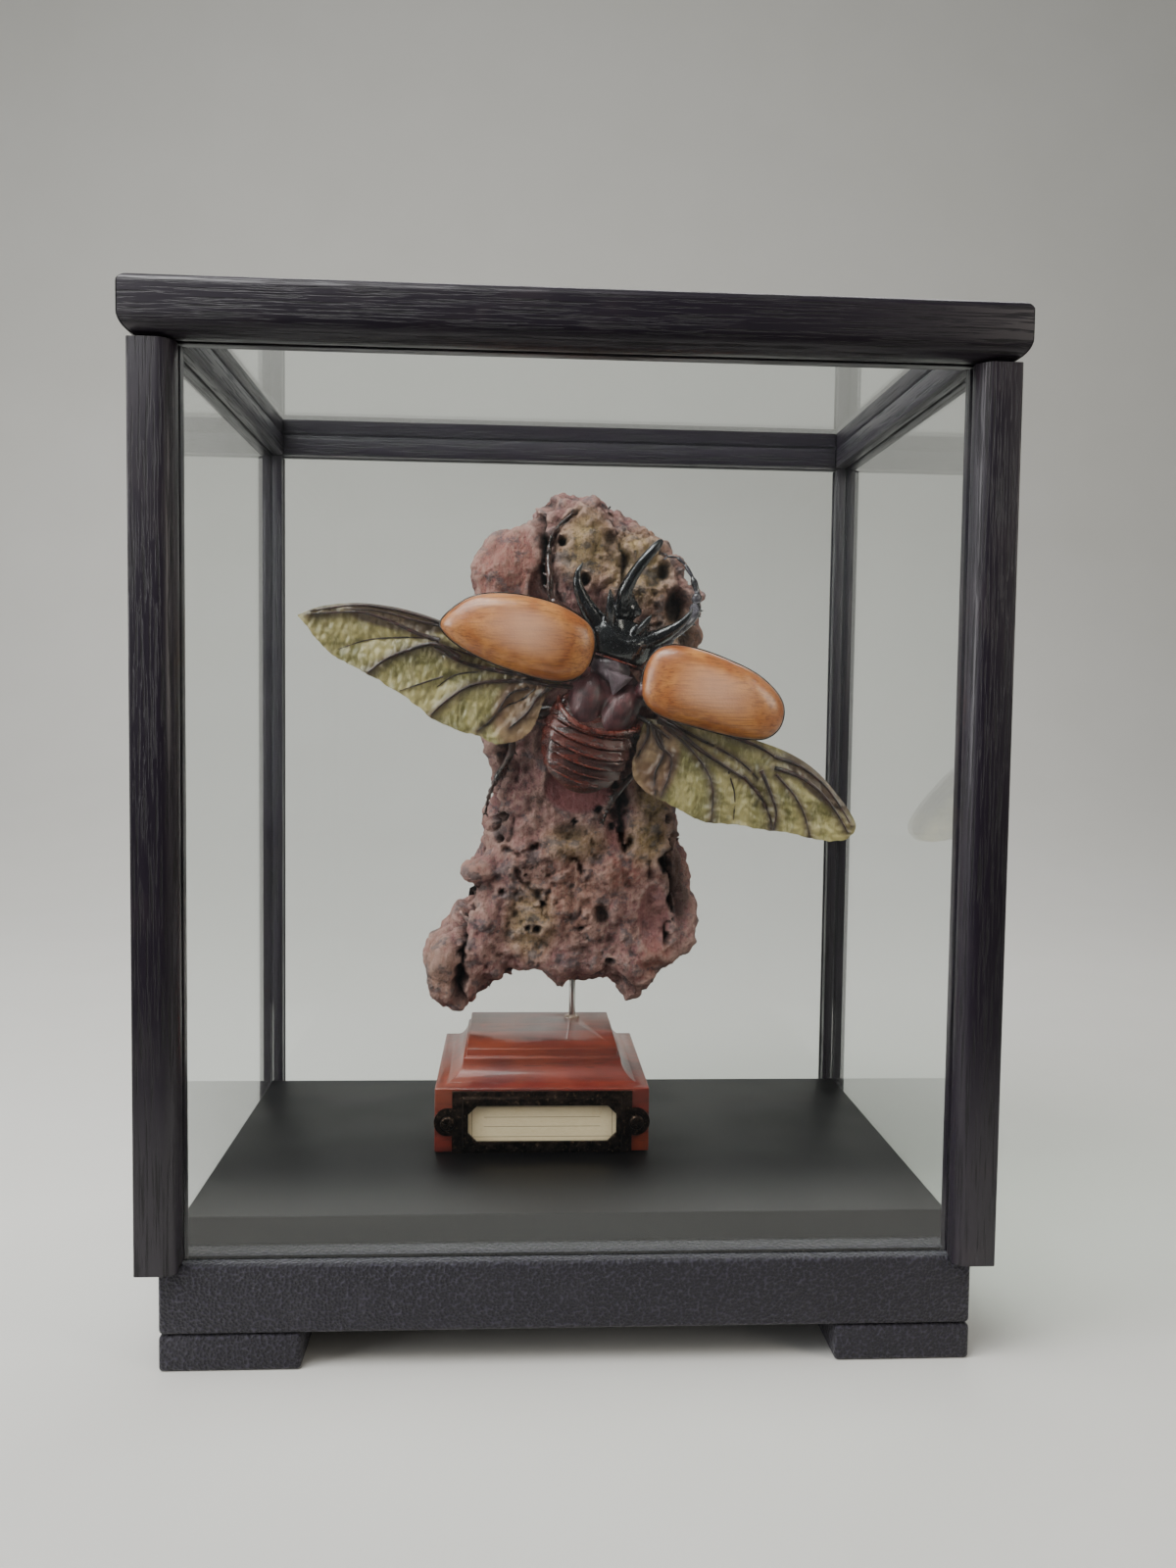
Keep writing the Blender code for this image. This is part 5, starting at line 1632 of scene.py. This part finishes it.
VEINS = {  # radius at the root, how far the film is raised along it, and its line
    "left": (
        (0.62, 1.3, ((-44, -5.2), (-50.1, -5.2), (-57.5, -4.4), (-65, -4.9), (-75.9, -8.9))),
        (0.5, 0.9, ((-42, -1.4), (-50, -1.0), (-58, -1.7), (-66, -3.5), (-75.5, -8))),
        (0.34, 0.5, ((-45, -1.8), (-51.5, -2.4), (-60, -3.0), (-68, -5.0))),
        (0.3, -0.9, ((-45.5, -5.6), (-48.9, -6.0), (-59.8, -9.9), (-66.9, -14.8))),
        (0.66, 1.3, ((-38.0, -7.6), (-44.8, -6.4), (-50.9, -10.1), (-55.2, -13.8), (-58.1, -17.9))),
        (0.85, 1.0, ((-20.0, -6.4), (-25.7, -7.4), (-36.6, -8.6), (-44.7, -7.2))),
        (0.5, -0.5, ((-20.0, -5.2), (-29, -5.6), (-37.6, -6.2), (-44.0, -6.0))),
        (0.6, 1.3, ((-18, -7.4), (-23.5, -8.8), (-32.5, -12.5), (-37.4, -17.5), (-40.7, -23))),
        (0.26, -0.9, ((-32, -9), (-38, -12), (-41.6, -16.4))),
        (0.34, 0.9, ((-20, -9.6), (-24, -12.4), (-26, -18.9), (-28.9, -23.4))),
        (0.3, -1.0, ((-18.6, -9.2), (-20.6, -12.5), (-24.4, -16.0), (-27.2, -21.6))),
        (0.5, 0.9, ((-15.4, -8.2), (-17.4, -11.2), (-18.4, -15.0), (-21.6, -20.4))),
        (0.26, 0.5, ((-40.7, -13.2), (-46.2, -17.2), (-49.6, -19.8))),
        (0.75, 0.6, ((-7.6, -6.0), (-11.4, -6.4), (-15.4, -7.4), (-20, -8.4))),  # hinges the wing
    ),
    "right": (
        (0.75, 0.6, ((4.8, -7.6), (8.6, -8.2), (12.6, -9.4), (16.4, -10.8))),  # hinges the wing
        (0.8, 1.4, ((12.2, -7.4), (17.6, -8.4), (24.2, -11.0), (33.4, -13.6), (38.6, -14.8))),
        (0.5, -0.6, ((14.5, -6.8), (22, -8.4), (30, -9.6), (36, -11.2), (40.6, -13.6))),
        (0.62, 0.9, ((30, -5.4), (38.9, -6.2), (43.6, -7.6))),
        (0.42, 1.3, ((14.0, -8.4), (20.8, -11), (27.3, -15.2), (30.8, -20.1), (32.6, -27))),
        (0.5, 1.0, ((11.4, -9.2), (14.6, -13.2), (18.2, -15), (19.2, -19.5), (18.8, -25))),
        (0.5, -1.0, ((37.0, -14.2), (42.2, -17.2), (46.4, -21.4), (47.8, -24.6))),
        (0.56, 1.3, ((40.5, -11.4), (44.3, -15.7), (47.4, -20), (48.3, -24.6))),
        (0.36, 0.9, ((44.4, -11.2), (50.1, -14.6), (54.2, -18.4), (57.4, -23.2))),
        (0.62, 1.0, ((43.4, -9.8), (49.8, -9.9), (55.8, -11.8), (61, -15), (66, -19.4))),
        (0.5, 0.5, ((42.6, -7.2), (48.8, -7.3), (55.6, -9.4), (62, -13.6), (66.6, -17.8))),
        (0.26, -0.8, ((33, -14), (36.4, -19), (38.2, -25.2))),
        (0.5, 0.8, ((10.4, -9.0), (11.2, -12.4), (10.4, -17.4))),
        (0.4, 0.7, ((12.8, -9.4), (16.2, -14.6), (15.8, -20), (17.4, -25))),
    ),
}
TAN_LOBES = {"left": ((-20, -15.5), (7.5, 10.5)), "right": ((14.5, -17.5), (7, 11))}
BROWN_EDGES = {"left": ((-56, -3.2), (16, 3.4)), "right": ((55, -10.2), (12, 3.6))}
WING_LIFT = 1.7
FILM = 0.13  # thicker than the real film, so that it shows edge on
WING_ROWS, WING_COLUMNS = 72, 210
print("wing veins:", {side: len(veins) for side, veins in VEINS.items()})

# %% [markdown]
# Film and vein
#
# The film is a few hundredths of a millimetre of dry cuticle: olive, with paler streaks and a
# satin gloss that its crinkles break up. The veins are the same stuff rolled into tubes, so they
# are dark brown and glossier. The film could be made of thin glass, but it is nearly opaque when
# dry, so an alpha just under one is enough to let a hint of what lies behind show.

# %% Hind wing materials
def wing_film():
    made, tree, shader, coordinates = new_material(
        "pleated_wing_film", IOR=CHITIN_IOR, Coat_Weight=0.25, Coat_Roughness=0.25, Alpha=0.93)
    slanted = add(tree, "stretch", coordinates, (1, 1, 0.25), Rotation=(0, 0.5, 0))
    streaks = add(tree, "noise", slanted, 1.3, Detail=5, Roughness=0.7, Distortion=0.8)
    clouds = add(tree, "noise", coordinates, 8, Detail=4, Roughness=0.6, Distortion=0.6)
    film = add(tree, "mix", add(tree, "mask", clouds, 0.4, 0.62), "6A6231", "A0925E")
    film = add(tree, "mix", add(tree, "MULTIPLY", add(tree, "mask", streaks, 0.45, 0.68), 0.6), film,
               "B8AA80")
    film = add(tree, "mix", add(tree, "Attribute", attribute_name="tan"), film,
               add(tree, "mix", add(tree, "mask", clouds, 0.35, 0.7), "6E4E36", "A88A66"))
    film = add(tree, "mix", add(tree, "Attribute", attribute_name="brown"), film, "3A1C18")
    link(tree, shader, Base_Color=film)
    link(tree, shader, Roughness=add(tree, "spread", streaks, 0.3, 0.52))
    relief(tree, shader, (streaks, 0.1), (clouds, 0.1))
    return made


WING_FILM = wing_film()
VEIN = cuticle("dark_wing_vein", "180A09", "3E201C", 0.22, line_mm=0.3)
print("hind wings of", WING_FILM.name, "and", VEIN.name)

# %% [markdown]
# Laying the film and its veins
#
# A real hind wing is a sheet stretched over its veins. A grid is laid between the front and hind
# outlines, so its rows run from root to tip, and is lifted along each vein and crinkled between
# them. The veins are bars that read the same height, so they lie in the film, and one stout vein
# on each side runs into the thorax as the hinge.

# %% Hind wings and their veins
def even(points, count):
    """The smooth line through the points, at even steps along it."""
    line = smooth_line(points, 12)
    run = np.concatenate([[0], np.cumsum(np.linalg.norm(np.diff(line, axis=0), axis=1))])
    marks = np.linspace(0, run[-1], count)
    return np.stack([np.interp(marks, run, line[:, k]) for k in range(2)], axis=1)


def wing_height(side, points):
    """How far the film stands out at each x, y, with the pleats but not the crinkles."""
    height = np.full(len(points), WING_LIFT)
    for _, lift, line in VEINS[side]:
        away = line_distance(points, smooth_line(line, 5))
        height += 0.75 * lift * np.exp(-((away / 1.5) ** 1.3))
    flat = np.column_stack([points, np.zeros(len(points))])
    return height + 0.7 * noise_at(flat + 5, 9, 1)


def build_wing(side, front, hind):
    wing = start(bpy.ops.mesh.primitive_grid_add, "wing_" + side, x_subdivisions=WING_COLUMNS - 1,
                 y_subdivisions=WING_ROWS - 1, size=1)
    laid, _ = read_mesh(wing)
    laid = laid * MM + 0.5
    column = np.rint(laid[:, 0] * (WING_COLUMNS - 1)).astype(int)
    share = laid[:, 1:2]
    points = even(front, WING_COLUMNS)[column] * (1 - share) + even(hind, WING_COLUMNS)[column] * share
    flat = np.column_stack([points, np.zeros(len(points))])
    ragged = np.clip((share[:, 0] - 0.93) / 0.07, 0, 1)
    points = points + ragged[:, None] * 0.35 * np.stack([noise_at(flat, 2, 2), noise_at(flat + 9, 2, 2)],
                                                        axis=1)
    crinkle = noise_at(flat, (1.1, 2.8, 1), 3) * 0.34 + noise_at(flat - 20, (3.2, 2.0, 1), 2) * 0.4
    rim = np.clip(share[:, 0] * 6, 0, 1)
    places = np.column_stack([points, wing_height(side, points) + crinkle * rim])
    wing.data.vertices.foreach_set("co", places.ravel())
    brown = np.zeros(len(points))
    for radius, _, line in VEINS[side]:
        away = line_distance(points, smooth_line(line, 5))
        brown = np.maximum(brown, 0.75 * np.exp(-((away / (0.8 + radius)) ** 2)) * (radius > 0.3))
    centre, reach = BROWN_EDGES[side]
    lean = -0.1 if side == "left" else -0.42
    turned = np.column_stack([points[:, 0], points[:, 1] - lean * np.abs(points[:, 0] - centre[0])
                              * np.sign(points[:, 0] - centre[0]) * (1 if side == "right" else -1)])
    brown = np.maximum(brown, 0.85 * np.clip(2.2 * dome(turned, *centre, *reach), 0, 1))
    tan_centre, tan_reach = TAN_LOBES[side]
    write_attribute(wing, "brown", brown)
    write_attribute(wing, "tan", np.clip(2.4 * dome(points, *tan_centre, *tan_reach), 0, 1))
    wing.data.update()
    heal(wing, 1e-3)
    apply_now(wing, "SOLIDIFY", thickness=FILM, offset=0)
    return stand(wing)


def build_veins(side):
    bars = []
    for radius, _, line in VEINS[side]:
        points = smooth_line(line, 5)
        heights = wing_height(side, points) + 0.15
        taper = radius * np.linspace(1, 0.32, len(points))
        bars.append(bar("vein", np.column_stack([points, heights, taper]), roundness=2, steps=1))
    return stand(join("veins_" + side, bars))


for side, front, hind in (("left", LEFT_FRONT, LEFT_HIND), ("right", RIGHT_FRONT, RIGHT_HIND)):
    finish(build_wing(side, front, hind), "pleated_hind_wing_" + side, WING_FILM,
           ["hindwing_" + side], smooth=60)
    finish(build_veins(side), "wing_veins_" + side, VEIN, smooth=60)

# %% [markdown]
# Legs
#
# Each of the six legs has a thick thigh, a shin with thorns on its outer side, and a foot of five
# small beads that ends in two claws. In a dried beetle the feet curl. A leg is drawn by stations
# from inside the body to the claws, so it never hangs loose. The knee and ankle are two of its
# stations, so the joints swell there. A ray sent at the wood from each station of the foot says
# how deep the foot must lie to rest on it. The right foreleg gets a paler grey chitin, a painted
# highlight that stands for the shine along its thigh.

# %% Legs
LEGS = {  # side of the thorns, then x, y, z, radius
    "foreleg_left": (1, (
        (-9.0, 8.4, -2.4, 1.5), (-20.4, 12.6, -3.4, 1.3), (-23.5, 18.6, -3.4, 0.95), (-25.2, 23.4, -3.6, 0.7),
        (-26, 28.1, -3.8, 0.48), (-24.8, 32, -3.8, 0.44), (-22.9, 35.1, -3.8, 0.34)
    )),
    "foreleg_right": (-1, (
        (5.6, 6.6, -1.0, 1.9), (8.4, 12.2, 0.6, 2.2), (12.4, 18.0, 0.4, 1.5), (13.4, 22.4, 0, 1.3),
        (12.4, 27.0, -0.6, 0.95), (9.0, 30.8, -1.6, 0.5), (6.0, 33.0, -2.4, 0.42), (3.2, 32.6, -3.2, 0.28)
    )),
    "midleg_left": (1, (
        (-8.0, -3.6, -1.6, 1.4), (-19, 1, -4.2, 1.3), (-24, -4, -4.6, 1.1), (-28, -12, -4.6, 0.8),
        (-31, -18, -4.6, 0.4)
    )),
    "midleg_right": (-1, (
        (6.4, -4, -1.6, 1.4), (14, -1, -4.2, 1.3), (17.6, -8, -4.6, 1.1), (18.4, -17, -4.8, 0.8),
        (20.4, -22, -4.8, 0.4)
    )),
    "hindleg_left": (1, (
        (-9.6, -11.6, -1.8, 1.5), (-21.6, -18, -4.2, 1.3), (-19.4, -25.4, -4.2, 1.1),
        (-20.9, -33.4, -4.2, 0.75), (-21.4, -38.2, -4.2, 0.55), (-20.9, -42.6, -4.2, 0.34)
    )),
    "hindleg_right": (-1, (
        (5.6, -11.8, -1.8, 1.5), (13, -17, -4.4, 1.3), (10.6, -24, -4.8, 0.95), (8.4, -30, -5, 0.7),
        (8, -36, -5, 0.4)
    )),
}  # fmt: skip
ANKLE = 3  # which station of a leg is its ankle
THORNS = 4
BEADS = 5
LEG_STEPS = 6
FOOT_DROP = 3.5  # the deepest a foot reaches below where it is drawn, as over a crack


def rest_on_wood(stations):
    """The stations with those of the foot laid on the wood behind them, where there is any."""
    laid = [list(station) for station in stations]
    for station in laid[ANKLE:]:
        x, y, z, radius = station
        over = BEETLE @ Vector((x, y, 0))
        met, place, _, _ = driftwood.ray_cast((over.x, -1, over.z), (0, 1, 0))
        if met:
            surface = (BEETLE_AT.y - place.y) / MM + 0.6 * radius
            station[2] = max(surface, z - FOOT_DROP)
    return laid


def build_leg(thorn_side, stations):
    line = smooth_line(rest_on_wood(stations), LEG_STEPS)
    knee, foot = LEG_STEPS, ANKLE * LEG_STEPS
    thigh, shin = line[: knee + 1].copy(), line[knee : foot + 1].copy()
    thigh[:, 3] *= 1 + 0.28 * np.sin(np.linspace(0, math.pi, len(thigh)))
    shin[:, 3] *= np.linspace(0.62, 1.12, len(shin))
    parts = [bar("thigh", thigh, steps=1), bar("shin", shin, steps=1)]
    parts += [ball("joint", line[i][:3], [line[i][3] * 0.95] * 3, segments=16, rings=8) for i in (knee, foot)]
    for k in range(THORNS):
        at = min(3 + round(k * (len(shin) - 4) / (THORNS - 1)), len(shin) - 2)
        place, run = shin[at, :3], shin[at + 1, :3] - shin[at, :3]
        out = thorn_side * np.array([-run[1], run[0], 0]) / max(np.linalg.norm(run[:2]), 1e-6)
        lean = run / np.linalg.norm(run)
        radius = shin[at, 3]
        tip = place + out * (radius + 0.9) + lean * 0.9
        parts.append(bar("thorn", ((*place, radius * 0.6), (*(place + out * radius * 0.9 + lean * 0.2), 0.36),
                                   (*tip, 0.08)), steps=3))
    toes = line[foot:]
    marks = np.linspace(0, len(toes) - 1, BEADS + 1)
    for start, end in zip(marks, marks[1:]):
        inner, outer = (np.array([np.interp(m, np.arange(len(toes)), toes[:, k]) for k in range(4)])
                        for m in (start, end))
        waist = inner * [1, 1, 1, 0.62]
        swell = (inner + 2 * outer) / 3 * [1, 1, 1, 1.15]
        parts.append(bar("bead", (waist, swell, outer * [1, 1, 1, 0.55]), steps=3))
    tip, before = toes[-1], toes[-3]
    ahead = (tip[:3] - before[:3]) / np.linalg.norm(tip[:3] - before[:3])
    aside = np.array([-ahead[1], ahead[0], 0])
    for side in (-1, 1):
        bend = tip[:3] + 0.8 * ahead + 0.7 * side * aside
        hook = tip[:3] + 1.7 * ahead + 0.75 * side * aside + np.array([0, 0, -0.5])
        parts.append(bar("claw", ((*tip[:3], 0.26), (*bend, 0.22), (*hook, 0.1)), steps=3))
    return stand(melt("leg", parts, 0.17, 2))


# A paler grey copy of the leg chitin: painted highlight for the right foreleg.
HIGHLIT_LEG = cuticle("leg_chitin_painted_highlight", "1A171B", "58535C", 0.16, puncture_mm=0.6, coat=0.8)
for name, (thorn_side, stations) in LEGS.items():
    leg_cuticle = HIGHLIT_LEG if name == "foreleg_right" else BLACK_LEG
    finish(build_leg(thorn_side, stations), "thorny_" + name, leg_cuticle, [name], smooth=60)
